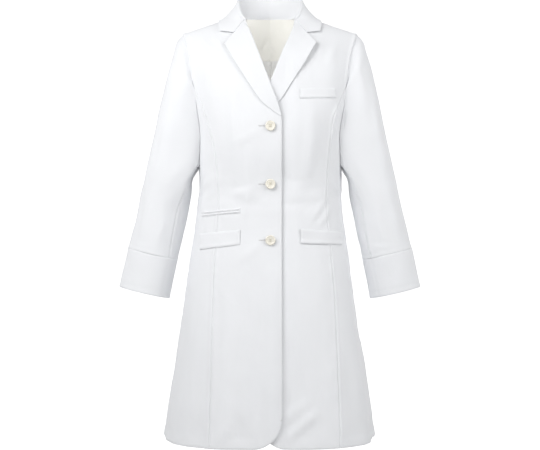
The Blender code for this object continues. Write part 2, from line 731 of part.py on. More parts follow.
def pouch(name, corners, slit, depth, hollow, side):
    """Open-topped cloth bag behind a pocket slit; corners are the welt's, slit its middle."""
    cols = 6
    rows = 5
    left, right = corners[0], corners[1]
    under = SLIT_HEIGHT / 2 + 0.001
    over = SLIT_HEIGHT / 2 + 0.003
    slant = right[1] - left[1]
    x0 = left[0] - 0.001
    x1 = right[0] + 0.001

    def layer(rise, top_shift, margin):
        a = (x0 + margin, slit + top_shift)
        b = (x1 - margin, slit + slant + top_shift)
        end = slit - depth + margin
        grid = quad_grid((a, b, (b[0], end), (a[0], end)), rows, cols)
        return [[mirrored(surface(t, w) + normal(t, w) * rise, side) for t, w in line] for line in grid]

    wall = BAG_WALL
    layers = (
        layer(BAG_TOP, -under, 0.0),
        layer(BAG_TOP - wall, -under, wall),
        layer(BAG_TOP - wall - hollow, over, wall),
        layer(BAG_TOP - 2 * wall - hollow, over, 0.0),
    )
    vertices = [p for grid in layers for line in grid for p in line]
    size = (rows + 1) * (cols + 1)

    def at(n, i, j):
        return n * size + i * (cols + 1) + j

    faces = []
    for n in range(4):
        for i in range(rows):
            for j in range(cols):
                faces.append((at(n, i, j), at(n, i, j + 1), at(n, i + 1, j + 1), at(n, i + 1, j)))
    for a, b in ((0, 3), (1, 2)):
        for i in range(rows):
            for j in (0, cols):
                faces.append((at(a, i, j), at(a, i + 1, j), at(b, i + 1, j), at(b, i, j)))
        for j in range(cols):
            faces.append((at(a, rows, j), at(a, rows, j + 1), at(b, rows, j + 1), at(b, rows, j)))
    for a, b in ((0, 1), (2, 3)):
        for j in range(cols):
            faces.append((at(a, 0, j), at(a, 0, j + 1), at(b, 0, j + 1), at(b, 0, j)))
    for j in (0, cols):
        faces.append((at(0, 0, j), at(1, 0, j), at(2, 0, j), at(3, 0, j)))
    return make(name, vertices, faces, colour=LINING_CREAM)


def cutter(name, centre, size, tilt=0.0):
    bm = bmesh.new()
    bmesh.ops.create_cube(bm, size=1.0)
    for v in bm.verts:
        x = v.co.x * size[0]
        z = v.co.z * size[2]
        v.co = Vector((x * math.cos(tilt) - z * math.sin(tilt), v.co.y * size[1],
                       x * math.sin(tilt) + z * math.cos(tilt))) + Vector(centre)
    mesh = bpy.data.meshes.new(name)
    bm.to_mesh(mesh)
    bm.free()
    ob = bpy.data.objects.new(name, mesh)
    bpy.context.scene.collection.objects.link(ob)
    ob.hide_render = True
    ob.display_type = "WIRE"
    return ob


def boolean(target, tool, operation="DIFFERENCE"):
    mod = target.modifiers.new(tool.name, "BOOLEAN")
    mod.operation = operation
    mod.solver = "EXACT"
    mod.object = tool


def slit_in(targets, name, corners, height, side):
    """Cut the pocket mouth through the panels behind a welt."""
    left, right = corners[0], corners[1]
    tilt = math.atan2(right[1] - left[1], right[0] - left[0]) * side
    middle_x = (left[0] + right[0]) / 2 * side
    middle_z = height + (right[1] - left[1]) / 2
    length = right[0] - left[0] - 2 * SLIT_MARGIN
    tool = cutter(name, (middle_x, -0.11, middle_z), (length, 0.16, SLIT_HEIGHT), tilt)
    for target in targets:
        boolean(target, tool)


lower_slits = {1: WELT_LOWER_LEFT[0][1] - WELT_SLIT_DROP, -1: WELT_LOWER_RIGHT[0][1] - WELT_SLIT_DROP}
for side, corners in ((1, WELT_LOWER_LEFT), (-1, WELT_LOWER_RIGHT)):
    word = NAMES[side]
    on_body(word + "_pocket_welt", quad_grid(corners, 2, 6), side, WELT_RISE, trim=0.0)
    pouch(word + "_pocket_bag", corners, lower_slits[side], BAG_DEPTH_LOWER, BAG_HOLLOW_LOWER, side)
    slit_in((panels[word, "front"], panels[word, "side"]), word + "_pocket_cut", corners,
            lower_slits[side], side)

chest_slit = WELT_CHEST[0][1] - WELT_SLIT_DROP
on_body("chest_pocket_welt", quad_grid(WELT_CHEST, 1, 5), 1, WELT_RISE, trim=0.0)
pouch("chest_pocket_bag", WELT_CHEST, chest_slit, BAG_DEPTH_CHEST, BAG_HOLLOW_SMALL, 1)
slit_in((panels["left", "front"],), "chest_pocket_cut", WELT_CHEST, chest_slit, 1)

ticket_slit = (JET_UPPER[3][1] + JET_LOWER[0][1]) / 2
on_body("ticket_pocket_upper_jet", quad_grid(JET_UPPER, 1, 6), -1, WELT_RISE, trim=0.0)
on_body("ticket_pocket_lower_jet", quad_grid(JET_LOWER, 1, 6), -1, WELT_RISE, trim=0.0)
pouch("ticket_pocket_bag", JET_UPPER, ticket_slit, BAG_DEPTH_TICKET, BAG_HOLLOW_SMALL, -1)
slit_in((panels["right", "front"], panels["right", "side"]), "ticket_pocket_cut", JET_UPPER,
        ticket_slit, -1)


# ---- buttons, their thread and the buttonholes
def lathe(name, profile, centre, segments, **look):
    """Solid of revolution about -Y; profile holds (radius, distance in front) pairs."""
    vertices = []
    for r, d in profile:
        for k in range(segments):
            a = 2 * math.pi * k / segments
            vertices.append(Vector(centre) + Vector((r * math.cos(a), -d, r * math.sin(a))))
    faces = []
    for i in range(len(profile) - 1):
        for k in range(segments):
            m = (k + 1) % segments
            faces.append((i * segments + k, i * segments + m, (i + 1) * segments + m,
                          (i + 1) * segments + k))
    faces.append(tuple(range(segments)))
    top = (len(profile) - 1) * segments
    faces.append(tuple(top + k for k in reversed(range(segments))))
    return make(name, vertices, faces, **look)


def hole_cutter(name, centre, radius, pitch, segments=10):
    vertices = []
    faces = []
    for sx in (-1, 1):
        for sz in (-1, 1):
            base = len(vertices)
            for d in (-0.01, 0.01):
                for k in range(segments):
                    a = 2 * math.pi * k / segments
                    vertices.append(Vector(centre) + Vector((
                        sx * pitch / 2 + radius * math.cos(a), d, sz * pitch / 2 + radius * math.sin(a))))
            for k in range(segments):
                m = (k + 1) % segments
                faces.append((base + k, base + m, base + segments + m, base + segments + k))
            faces.append(tuple(base + k for k in range(segments)))
            faces.append(tuple(base + segments + k for k in reversed(range(segments))))
    ob = make(name, vertices, faces)
    ob.hide_render = True
    ob.display_type = "WIRE"
    return ob


def box_union(name, boxes):
    """Several separate boxes as one cutter or added piece."""
    vertices = []
    faces = []
    for low, high in boxes:
        base = len(vertices)
        for x in (low[0], high[0]):
            for y in (low[1], high[1]):
                for z in (low[2], high[2]):
                    vertices.append((x, y, z))
        for f in ((0, 1, 3, 2), (4, 6, 7, 5), (0, 4, 5, 1), (2, 3, 7, 6), (0, 2, 6, 4), (1, 5, 7, 3)):
            faces.append(tuple(base + k for k in f))
    ob = make(name, vertices, faces)
    ob.hide_render = True
    ob.display_type = "WIRE"
    return ob


for word, z in BUTTON_Z.items():
    face_y = surface(*chart(BUTTON_X, z)).y
    back_y = face_y - BUTTON_LIFT
    centre = (BUTTON_X, back_y, z)
    button = lathe(
        "button_" + word,
        ((BUTTON_RADIUS - 0.0012, 0.0), (BUTTON_RADIUS, 0.0010), (BUTTON_RADIUS, 0.0022),
         (BUTTON_RADIUS - 0.0010, BUTTON_THICKNESS), (BUTTON_RADIUS - BUTTON_RIM, BUTTON_THICKNESS),
         (BUTTON_RADIUS - BUTTON_RIM - 0.0012, BUTTON_THICKNESS - BUTTON_DISH)),
        centre, 28, colour=BUTTON_IVORY, roughness=0.3)
    boolean(button, hole_cutter("holes_" + word, centre, BUTTON_HOLE_RADIUS, BUTTON_HOLE_PITCH))

    slot_x = (BUTTONHOLE_INNER_X + BUTTONHOLE_OUTER_X) / 2
    slot = cutter("buttonhole_cut_" + word, (slot_x, face_y, z),
                  (BUTTONHOLE_OUTER_X - BUTTONHOLE_INNER_X, 0.014, BUTTONHOLE_HEIGHT))
    boolean(panels["right", "front"], slot)
    boolean(panels["right", "facing"], slot)

    # thread: a shank from the under front, legs through the holes and two bars over the face
    under_y = face_y + UNDERLAP_DROP - THREAD_CLEAR
    shank_len = under_y - back_y - SEAM_GAP
    shank = lathe("button_thread_" + word, ((SHANK_RADIUS, 0.0), (SHANK_RADIUS, shank_len - 0.0009),
                                            (0.0026, shank_len - 0.0007), (0.0026, shank_len)),
                  (BUTTON_X, under_y, z), 12, colour=BUTTON_IVORY, roughness=0.8)
    plate_y = under_y - shank_len
    top_y = back_y - (BUTTON_THICKNESS - BUTTON_DISH) - SEAM_GAP
    h = THREAD_HALF
    p = BUTTON_HOLE_PITCH / 2
    legs = []
    for sz in (-1, 1):
        for sx in (-1, 1):
            legs.append(((BUTTON_X + sx * p - h, top_y - h, z + sz * p - h),
                         (BUTTON_X + sx * p + h, plate_y + 0.0004, z + sz * p + h)))
    bars = []
    for sz in (-1, 1):
        bars.append(((BUTTON_X - p - h, top_y - 2 * h, z + sz * p - h * 1.1),
                     (BUTTON_X + p + h, top_y, z + sz * p + h * 1.1)))
    boolean(shank, box_union("thread_legs_" + word, legs), "UNION")
    boolean(shank, box_union("thread_bars_" + word, bars), "UNION")
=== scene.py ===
import math

import bmesh
import bpy
import numpy as np
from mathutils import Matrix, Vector
from mathutils.bvhtree import BVHTree


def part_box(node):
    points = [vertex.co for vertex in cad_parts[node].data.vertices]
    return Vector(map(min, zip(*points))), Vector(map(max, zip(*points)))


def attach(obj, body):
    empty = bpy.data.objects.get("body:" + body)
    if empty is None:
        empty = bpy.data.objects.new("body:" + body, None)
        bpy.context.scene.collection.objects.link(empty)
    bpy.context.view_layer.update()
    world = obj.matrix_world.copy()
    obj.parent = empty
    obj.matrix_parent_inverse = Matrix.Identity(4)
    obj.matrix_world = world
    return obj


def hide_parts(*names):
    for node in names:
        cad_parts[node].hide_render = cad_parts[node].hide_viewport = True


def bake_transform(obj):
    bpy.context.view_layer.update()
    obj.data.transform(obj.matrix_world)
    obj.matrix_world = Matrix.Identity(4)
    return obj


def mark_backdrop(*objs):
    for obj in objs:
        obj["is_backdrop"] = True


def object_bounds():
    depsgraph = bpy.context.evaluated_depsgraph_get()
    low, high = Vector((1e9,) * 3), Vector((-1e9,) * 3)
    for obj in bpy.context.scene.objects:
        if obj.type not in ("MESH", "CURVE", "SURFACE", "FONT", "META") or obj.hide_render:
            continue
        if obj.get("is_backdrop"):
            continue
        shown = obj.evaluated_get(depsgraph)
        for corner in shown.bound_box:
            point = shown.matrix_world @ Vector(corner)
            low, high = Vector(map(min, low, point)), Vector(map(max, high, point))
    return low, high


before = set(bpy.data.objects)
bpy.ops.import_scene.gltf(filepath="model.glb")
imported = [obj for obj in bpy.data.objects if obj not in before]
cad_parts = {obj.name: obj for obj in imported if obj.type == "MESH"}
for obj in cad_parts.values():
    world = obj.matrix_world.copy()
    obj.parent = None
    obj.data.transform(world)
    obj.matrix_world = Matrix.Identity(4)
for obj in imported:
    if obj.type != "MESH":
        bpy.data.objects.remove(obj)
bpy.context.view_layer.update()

# ---------------------------------------------------------------- the coat's dimensions (metres)
WORDS = {1: "left", -1: "right"}    # the wearer's side, by the sign of X
PLY = 0.0011            # one layer of cloth
SEAM = 0.00015          # what each piece stays back from its seam
FACING_DROP = 0.0036    # outer face of the facings, below the coat's surface
UNDERLAP_DROP = 0.0062  # how far the left front sinks to pass behind the right one
COLLAR_RISE = 0.0034    # the collar's fall, above the coat's surface
LAPEL_RISE = 0.0030     # the lapels, above the coat's surface

STATIONS = np.array((   # height, half width, depth in front, depth behind
    (-0.980, 0.2440, 0.167, 0.168),
    (-0.800, 0.2180, 0.147, 0.145),
    (-0.650, 0.1950, 0.131, 0.120),
    (-0.560, 0.1820, 0.122, 0.104),
    (-0.490, 0.1710, 0.114, 0.090),
    (-0.400, 0.1625, 0.110, 0.082),
    (-0.320, 0.1655, 0.120, 0.091),
    (-0.265, 0.1685, 0.123, 0.099),
    (-0.220, 0.177, 0.120, 0.105),
    (-0.160, 0.190, 0.110, 0.109),
    (-0.100, 0.200, 0.094, 0.106),
    (-0.044, 0.209, 0.073, 0.099),
    (0.040, 0.213, 0.048, 0.090),
))
SQUARENESS = 2.5        # exponent of the body's rounded section
ROLL = 0.130            # radius with which the shoulders turn down
NECK_X, NECK_Z = 0.075, 0.003
TIP_X, TIP_Z = 0.200, -0.0385
HEM_Z = -0.962
OVERLAP_X = -0.025
BREAK_Z = -0.2375
CORNER = 0.065
FACING_EDGE_X = 0.045
FACING_TOP_Z = -0.236
ROLL_LINE = {
    1: ((0.0580, -0.020), (0.0435, -0.062), (0.0278, -0.097), (0.0065, -0.152), (-0.0185, -0.215),
        (-0.0243, BREAK_Z)),
    -1: ((0.0545, -0.020), (0.0376, -0.068), (0.0180, -0.122), (-0.0029, -0.178), (-0.0162, -0.213),
         (-0.0243, BREAK_Z)),
}
LAPEL_EDGE = ((0.1000, -0.0765), (0.0885, -0.0965), (0.0740, -0.1215), (0.0450, -0.167), (0.0170, -0.208),
              (-0.0205, BREAK_Z))
NOTCH = (0.0810, -0.0475)
PRINCESS_FRONT = {
    1: ((0.1705, -0.168), (0.1560, -0.200), (0.1405, -0.235), (0.1350, -0.280), (0.1325, -0.325),
        (0.1265, -0.390), (0.1255, -0.460), (0.1335, -0.530), (0.1425, -0.650), (0.1470, -0.780),
        (0.1510, HEM_Z)),
    -1: ((0.1705, -0.168), (0.1500, -0.215), (0.1320, -0.275), (0.1200, -0.340), (0.1150, -0.430),
         (0.1220, -0.530), (0.1260, -0.650), (0.1290, -0.780), (0.1320, HEM_Z)),
}
PRINCESS_BACK = ((0.1765, -0.168), (0.1500, -0.200), (0.1170, -0.270), (0.0960, -0.340), (0.0900, -0.420),
                 (0.0990, -0.530), (0.1160, -0.690), (0.1280, -0.820), (0.1380, HEM_Z))
NECK_FRONT = (0.066, -0.010)
BACK_NECK = ((0.000, 0.0080), (0.030, 0.0065), (0.055, 0.0045))
ARMHOLE_FRONT = ((TIP_X, TIP_Z), (0.1915, -0.062), (0.1815, -0.095), (0.1735, -0.140), (0.1705, -0.168))
ARMHOLE_BACK = ((TIP_X, TIP_Z), (0.1930, -0.062), (0.1865, -0.095), (0.1800, -0.140), (0.1765, -0.168))
LOW_FRONT = ((0.1705, -0.168), (0.1680, -0.205), (0.1690, -0.236))
LOW_BACK = ((0.1765, -0.168), (0.1730, -0.205), (0.1705, -0.236))
UNDERARM_Z = -0.250
WAIST_BACK_Z = -0.19
CUFF_Z, END_Z = -0.545, -0.632
HEM_STITCH = 0.0238     # height of the hem's stitching above its edge
BUTTON_X, BUTTON_HEIGHTS = 0.001, (-0.2610, -0.3880, -0.5115)

# how an edge is finished: steps of (outward, below, turn of the cloth in degrees) from the edge
TUCK = ((0.0001, 0.0003, 35), (0.0007, 0.0013, 15), (0.0030, 0.0016, 0), (0.0090, 0.0017, 0))
PRESSED = ((0.0001, 0.0003, 45), (0.0002, 0.0007, 80))
EDGE = ((0.0008, 0.0004, 45), (0.0012, 0.0013, 90), (0.0009, 0.0022, 135), (0.0, 0.0026, 180),
        (-0.0022, 0.0027, 180))
HEM = ((0.0004, 0.0003, 45), (0.0006, 0.0010, 90), (0.0004, 0.0018, 135), (0.0, 0.0022, 180),
       (-0.0060, 0.0023, 180), (-0.0150, 0.0023, 180), (-0.0245, 0.0023, 180))
CUFF_HEM = HEM[:4] + ((-0.0050, 0.0023, 180), (-0.0100, 0.0023, 180))


# ---------------------------------------------------------------- the body's surface
def station(z, column):
    """Smooth interpolation of a column of the body stations."""
    z = np.asarray(z, float)
    heights = STATIONS[:, 0]
    values = STATIONS[:, column]
    last = len(heights) - 1
    k = np.clip(np.searchsorted(heights, z, side="left") - 1, 0, last - 1)
    before = np.maximum(k - 1, 0)
    after = np.minimum(k + 2, last)
    z0, z1, v0, v1 = heights[k], heights[k + 1], values[k], values[k + 1]
    m0 = (v1 - values[before]) / (z1 - heights[before])
    m1 = (values[after] - v0) / (heights[after] - z0)
    h = z1 - z0
    t = (z - z0) / h
    return ((2 * t**3 - 3 * t**2 + 1) * v0 + (t**3 - 2 * t**2 + t) * h * m0
            + (-2 * t**3 + 3 * t**2) * v1 + (t**3 - t**2) * h * m1)


def ridge(x):
    """Height of the shoulder ridge."""
    return NECK_Z + (TIP_Z - NECK_Z) / (TIP_X - NECK_X) * (np.abs(x) - NECK_X)


def drop_of(w):
    """Fall below the shoulder ridge at an angle down from it."""
    return np.where(w < math.pi / 2, ROLL * (1 - np.cos(w)), ROLL * (1 + w - math.pi / 2))


def chart(xz, back=False):
    """(angle round the body, angle down from the shoulder ridge) of points given as (x, z)."""
    xz = np.atleast_2d(np.asarray(xz, float))
    x, z = xz[..., 0], xz[..., 1]
    theta = np.arcsin(np.minimum(1.0, np.abs(x) / station(z, 1)) ** (SQUARENESS / 2))
    if back:
        theta = math.pi - theta
    drop = np.maximum(0.0, ridge(x) - z)
    w = np.where(drop < ROLL, np.arccos(np.clip(1 - drop / ROLL, -1, 1)), math.pi / 2 + drop / ROLL - 1)
    return np.stack((np.where(x < 0, -theta, theta), w), -1)


def surface(tw):
    """Points of the body at (angle round, angle down)."""
    theta, w = tw[..., 0], tw[..., 1]
    s, c = np.sin(theta), np.cos(theta)
    z = np.full(theta.shape, -0.1)
    reach = np.abs(s) ** (2 / SQUARENESS) * np.sign(s)
    for _ in range(26):
        x = station(z, 1) * reach
        z = 0.5 * z + 0.5 * (ridge(x) - drop_of(w))
    depth = np.where(c > 0, station(z, 2), station(z, 3))
    y = -np.sign(c) * depth * np.abs(c) ** (2 / SQUARENESS) * np.sin(np.minimum(w, math.pi / 2))
    return np.stack((x, y, z), -1)


def normal(tw):
    e = 0.002
    side = np.array((e, 0.0))
    down = np.array((0.0, e))
    low = tw - down
    low[..., 1] = np.maximum(low[..., 1], 0.0)
    return unit(np.cross(surface(tw + down) - surface(low), surface(tw + side) - surface(tw - side)))


def unit(v):
    return v / np.maximum(np.linalg.norm(v, axis=-1, keepdims=True), 1e-12)


def step(a, b, value):
    """Smooth rise from 0 at a to 1 at b."""
    t = np.clip((value - a) / (b - a), 0.0, 1.0)
    return t * t * (3 - 2 * t)


def bell(value):
    return np.exp(-value ** 2)


def hashed(i, j, k, seed):
    n = (i * 374761393 + j * 668265263 + k * 2147483647 + seed * 974634777) & 0xFFFFFFFF
    n = ((n ^ (n >> 13)) * 1274126177) & 0xFFFFFFFF
    n = ((n ^ (n >> 16)) * 2246822519) & 0xFFFFFFFF
    return (n & 0xFFFF) / 32767.5 - 1.0


def noise(p, size, seed):
    """Smooth value noise from -1 to 1; size is the feature size, one number or one per axis."""
    q = p / np.asarray(size, float)
    base = np.floor(q).astype(np.int64)
    f = q - base
    f = f * f * f * (f * (f * 6 - 15) + 10)
    total = 0.0
    for dx in (0, 1):
        for dy in (0, 1):
            for dz in (0, 1):
                share = ((f[..., 0] if dx else 1 - f[..., 0]) * (f[..., 1] if dy else 1 - f[..., 1])
                         * (f[..., 2] if dz else 1 - f[..., 2]))
                total = total + share * hashed(base[..., 0] + dx, base[..., 1] + dy, base[..., 2] + dz, seed)
    return total


def crumpled(p, layers):
    """Sum of layers of noise, each as (height, feature size, seed, where it shows)."""
    return sum(height * noise(p, size, seed) * share for height, size, seed, share in layers)


# ---------------------------------------------------------------- folds and creases
# (start, end, half width, height) of soft ridges, as (x, z) in the front view
FRONT_CREASES = (
    ((0.086, -0.474), (0.124, -0.420), 0.0052, 0.0030),
    ((0.104, -0.484), (0.141, -0.432), 0.0048, 0.0026),
    ((0.074, -0.468), (0.098, -0.440), 0.0045, 0.0016),
    ((-0.152, -0.052), (-0.112, -0.112), 0.0075, 0.0032),
    ((-0.128, -0.046), (-0.098, -0.092), 0.0060, 0.0022),
    ((0.152, -0.066), (0.126, -0.124), 0.0080, 0.0022),
    ((0.116, -0.056), (0.108, -0.110), 0.0070, 0.0016),
    ((-0.086, -0.150), (-0.070, -0.400), 0.0130, 0.0030),
    ((-0.040, -0.300), (-0.052, -0.470), 0.0120, 0.0022),
    ((0.098, -0.205), (0.084, -0.380), 0.0150, 0.0028),
    ((0.050, -0.118), (0.058, -0.170), 0.0050, 0.0014),
    ((0.066, -0.114), (0.074, -0.168), 0.0045, 0.0013),
    ((0.084, -0.108), (0.090, -0.166), 0.0045, 0.0012),
    ((0.1475, -0.205), (0.1360, -0.300), 0.0050, 0.0030),
    ((-0.160, -0.400), (-0.128, -0.372), 0.0060, 0.0022),
    ((-0.158, -0.424), (-0.120, -0.404), 0.0055, 0.0018),
    ((0.160, -0.405), (0.130, -0.380), 0.0060, 0.0022),
    ((-0.020, -0.268), (-0.085, -0.304), 0.0080, 0.0018),
    ((-0.020, -0.392), (-0.090, -0.414), 0.0080, 0.0020),
    ((-0.020, -0.518), (-0.070, -0.560), 0.0090, 0.0018),
    ((0.036, -0.942), (0.100, -0.884), 0.0100, 0.0060),
    ((0.024, -0.905), (0.085, -0.858), 0.0110, 0.0035),
    ((-0.112, -0.955), (-0.092, -0.905), 0.0080, 0.0028),
    ((-0.150, -0.930), (-0.134, -0.850), 0.0070, 0.0020),
    ((-0.118, -0.700), (-0.124, -0.900), 0.0060, 0.0016),
)
BACK_CREASES = (
    ((0.034, 0.004), (0.003, -0.028), 0.0032, -0.0016),
    ((0.003, -0.026), (-0.026, -0.066), 0.0034, -0.0015),
    ((-0.010, -0.034), (0.013, -0.068), 0.0032, -0.0014),
    ((-0.040, -0.020), (-0.062, -0.090), 0.0045, -0.0012),
    ((0.046, -0.060), (0.020, -0.150), 0.0060, 0.0015),
    ((-0.110, -0.360), (-0.040, -0.410), 0.0080, 0.0020),
    ((0.110, -0.355), (0.035, -0.415), 0.0080, 0.0020),
    ((-0.095, -0.400), (-0.020, -0.438), 0.0070, 0.0016),
)


def ridges(p, lines):
    """Height of the soft ridges at points, whose depth doesn't count."""
    total = np.zeros(p.shape[:-1])
    place = p[..., (0, 2)]
    for start, end, width, height in lines:
        a = np.array(start)
        d = np.array(end) - a
        q = place - a
        t = np.clip(q @ d / (d @ d), 0, 1)
        off = np.linalg.norm(q - t[..., None] * d, axis=-1)
        total = total + height * bell(off / width) * np.sin(np.pi * np.clip(t, 0.03, 0.97)) ** 0.6
    return total


def relief(p):
    """How far the hanging cloth stands off the body's smooth shape, the same for every layer."""
    x, y, z = p[..., 0], p[..., 1], p[..., 2]
    turn = np.arctan2(x, -y)
    folds = (0.50 * np.cos(7 * turn + 0.6 + 1.2 * z) + 0.35 * np.cos(11 * turn - 1.1 - 0.9 * z)
             + 0.30 * np.cos(5 * turn + 2.3) + 0.22 * np.cos(17 * turn + 0.4 + 2.0 * z))
    out = 0.0062 * step(-0.48, -0.95, z) * folds
    out = out - 0.0007 * bell((z - HEM_Z - HEM_STITCH) / 0.0022)
    out = out + crumpled(p, (
        (0.0023, (0.075, 0.075, 0.17), 3, step(0.0, -0.12, z)),
        (0.0011, (0.030, 0.030, 0.055), 7, step(-0.02, -0.12, z)),
        (0.0012, (0.050, 0.050, 0.018), 11, bell((z + 0.41) / 0.05)),
        (0.0010, (0.022, 0.022, 0.040), 13, step(-0.70, -0.95, z)),
        (0.0010, (0.017, 0.017, 0.03), 71, step(HEM_Z + 0.034, HEM_Z + HEM_STITCH - 0.004, z))))
    out = out * (1 - 0.85 * step(0.140, 0.160, np.abs(x)) * step(-0.37, -0.34, z))
    for height in BUTTON_HEIGHTS:
        near = bell((x - BUTTON_X) / 0.024) * bell((z - height) / 0.020) * step(0.0, -0.05, y)
        out = out * (1 - 0.8 * near)
    return out + ridges(p, FRONT_CREASES) * step(0.0, -0.03, y) + ridges(p, BACK_CREASES) * step(0.0, 0.03, y)


def underlap(p):
    """The left front sinks to pass behind the right one."""
    return -UNDERLAP_DROP * step(0.062, 0.030, p[..., 0]) * step(-0.070, -0.125, p[..., 2])


def placed(tw, side, rise=0.0, under=False):
    """Points over the coat's surface at a height; side -1 mirrors them to the wearer's right."""
    flip = np.array((side, 1.0, 1.0))
    base = surface(tw)
    n = normal(tw)
    height = relief(base * flip) + rise
    if under:
        height = height + underlap(base)
    return (base + n * height[..., None]) * flip, n * flip


# ---------------------------------------------------------------- curves and grids
def gaps(points, axis=0):
    return np.linalg.norm(np.diff(points, axis=axis), axis=-1)


def run(lengths, axis=0):
    """Running totals that start from zero."""
    total = np.cumsum(lengths, axis)
    return np.concatenate((np.zeros_like(total.take([0], axis)), total), axis)


def sampled(at, lengths, values):
    return np.stack([np.interp(at, lengths, column) for column in values.T], -1)


def spaced(points, count):
    """The same path in equal steps."""
    points = np.asarray(points, float)
    lengths = run(gaps(points))
    return sampled(np.linspace(0, lengths[-1], count + 1), lengths, points)


def spline(points, count):
    points = np.asarray(points, float)
    dense = []
    for i in range(len(points) - 1):
        p0, p1, p2 = points[max(i - 1, 0)], points[i], points[i + 1]
        p3 = points[min(i + 2, len(points) - 1)]
        t = np.linspace(0, 1, 25)[:-1, None]
        dense.append(0.5 * (2 * p1 + (p2 - p0) * t + (2 * p0 - 5 * p1 + 4 * p2 - p3) * t**2
                            + (3 * p1 - p0 - 3 * p2 + p3) * t**3))
    return spaced(np.concatenate(dense + [points[-1:]]), count)


def joined(*paths):
    return np.concatenate([paths[0]] + [p[1:] for p in paths[1:]])


def closed(grid):
    """A grid that ends with its first column again."""
    return np.concatenate((grid, grid[:, :1]), 1)


def coons(top, bottom, left, right):
    """A grid filled in between four sides."""
    v = np.linspace(0, 1, len(left))[:, None, None]
    u = np.linspace(0, 1, len(top))[None, :, None]
    return ((1 - v) * top[None] + v * bottom[None] + (1 - u) * left[:, None] + u * right[:, None]
            - (1 - u) * (1 - v) * top[0] - u * (1 - v) * top[-1]
            - (1 - u) * v * bottom[0] - u * v * bottom[-1])


def inset(points, amount, sides="tblr"):
    moved = points.copy()
    if "l" in sides:
        moved[:, 0] += unit(points[:, 1] - points[:, 0]) * amount
    if "r" in sides:
        moved[:, -1] += unit(points[:, -2] - points[:, -1]) * amount
    if "t" in sides:
        moved[0] += unit(points[1] - points[0]) * amount
    if "b" in sides:
        moved[-1] += unit(points[-2] - points[-1]) * amount
    return moved


def edge_distance(points):
    """Distance of each grid point from its piece's left, right, top and bottom sides."""
    left, top = run(gaps(points, 1), 1), run(gaps(points))
    return {"l": left, "r": left[:, -1:] - left, "t": top, "b": top[-1:] - top}


def seam_shape(points, n, sides):
    """Cloth turns in where it is sewn and puckers a little beside the seam."""
    away = edge_distance(points)
    height = np.zeros(points.shape[:-1])
    for key in sides:
        height = height - 0.0004 * bell(away[key] / 0.0013) + 0.0007 * bell((away[key] - 0.0042) / 0.0030)
        pucker = noise(points, (0.05, 0.05, 0.011), 41) + 0.6 * noise(points, (0.05, 0.05, 0.023), 43)
        height = height + 0.00055 * pucker * bell(away[key] / 0.010)
    return points + n * height[..., None]


def grid_normals(points, wrap=False):
    across = np.roll(points, -1, 1) - np.roll(points, 1, 1) if wrap else np.gradient(points, axis=1)
    return unit(np.cross(across, np.gradient(points, axis=0)))


def ring_normals(points):
    """Outward normals of a grid that closes round on itself."""
    n = grid_normals(points, True)
    return n if ((points - points.mean(1, keepdims=True)) * n).sum() > 0 else -n


def back_along(points, distance):
    """The line a given distance back from a grid's last row, measured along its columns."""
    away = run(gaps(points[::-1]))
    return np.stack([sampled(distance, away[:, j], points[::-1, j]) for j in range(points.shape[1])])


def finished(points, n, side, steps, fade=None):
    """The grid carried on past one of its sides to turn under, tuck in or make a hem."""
    if side in "lr":
        points, n = points.swapaxes(0, 1), n.swapaxes(0, 1)
    if side in "lt":
        points, n = points[::-1], n[::-1]
    edge, up = points[-1], n[-1]
    along = np.gradient(edge, axis=0)
    out = unit(np.cross(along, up))
    if ((points[-1] - points[-2]) * out).sum() < 0:
        out = -out
    keep = 1.0 if fade is None else fade[:, None]
    rows = [(edge + (out * a - up * b) * keep) if a >= -0.001 else back_along(points, -a) - up * b
            for a, b, _ in steps]
    angles = [np.radians(c) * keep for _, _, c in steps]
    points = np.concatenate((points, np.array(rows)))
    n = np.concatenate((n, np.array([unit(up * np.cos(a) + out * np.sin(a)) for a in angles])))
    if side in "lt":
        points, n = points[::-1], n[::-1]
    if side in "lr":
        points, n = points.swapaxes(0, 1), n.swapaxes(0, 1)
    return points, n


# ---------------------------------------------------------------- objects
SHEETS = []
CLOTH_ANGLE, ALL_SMOOTH = 1.0, 3.0      # edges that turn by more than this (radians) are shaded sharp


def area_of(outer):
    a, b = outer[:-1, 1:] - outer[:-1, :-1], outer[1:, :-1] - outer[:-1, :-1]
    c, d = outer[1:, :-1] - outer[1:, 1:], outer[:-1, 1:] - outer[1:, 1:]
    return 0.5 * (np.linalg.norm(np.cross(a, b), axis=-1) + np.linalg.norm(np.cross(c, d), axis=-1)).sum()


def cloth_uv(mesh, across, down):
    u, v = run(across, 1), run(down)
    middle = u.shape[1] // 2
    uv = np.tile(np.stack((u - u[:, middle:middle + 1], v), -1).reshape(-1, 2), (2, 1))
    layer = mesh.uv_layers.new(name="cloth")
    loops = np.zeros(len(mesh.loops), np.int32)
    mesh.loops.foreach_get("vertex_index", loops)
    layer.data.foreach_set("uv", uv[loops].ravel().astype(np.float32))


def smoothed(mesh, limit, weld=False):
    """Face the mesh outward and shade it smooth, except over edges that turn by more than the limit."""
    bm = bmesh.new()
    bm.from_mesh(mesh)
    if weld:
        bmesh.ops.remove_doubles(bm, verts=bm.verts, dist=1e-7)
    bmesh.ops.recalc_face_normals(bm, faces=bm.faces)
    for face in bm.faces:
        face.smooth = True
    for edge in bm.edges:
        edge.smooth = not (edge.is_manifold and edge.calc_face_angle(0.0) > limit)
    bm.to_mesh(mesh)
    bm.free()


def linked(name, data):
    ob = bpy.data.objects.new(name, data)
    bpy.context.scene.collection.objects.link(ob)
    return ob


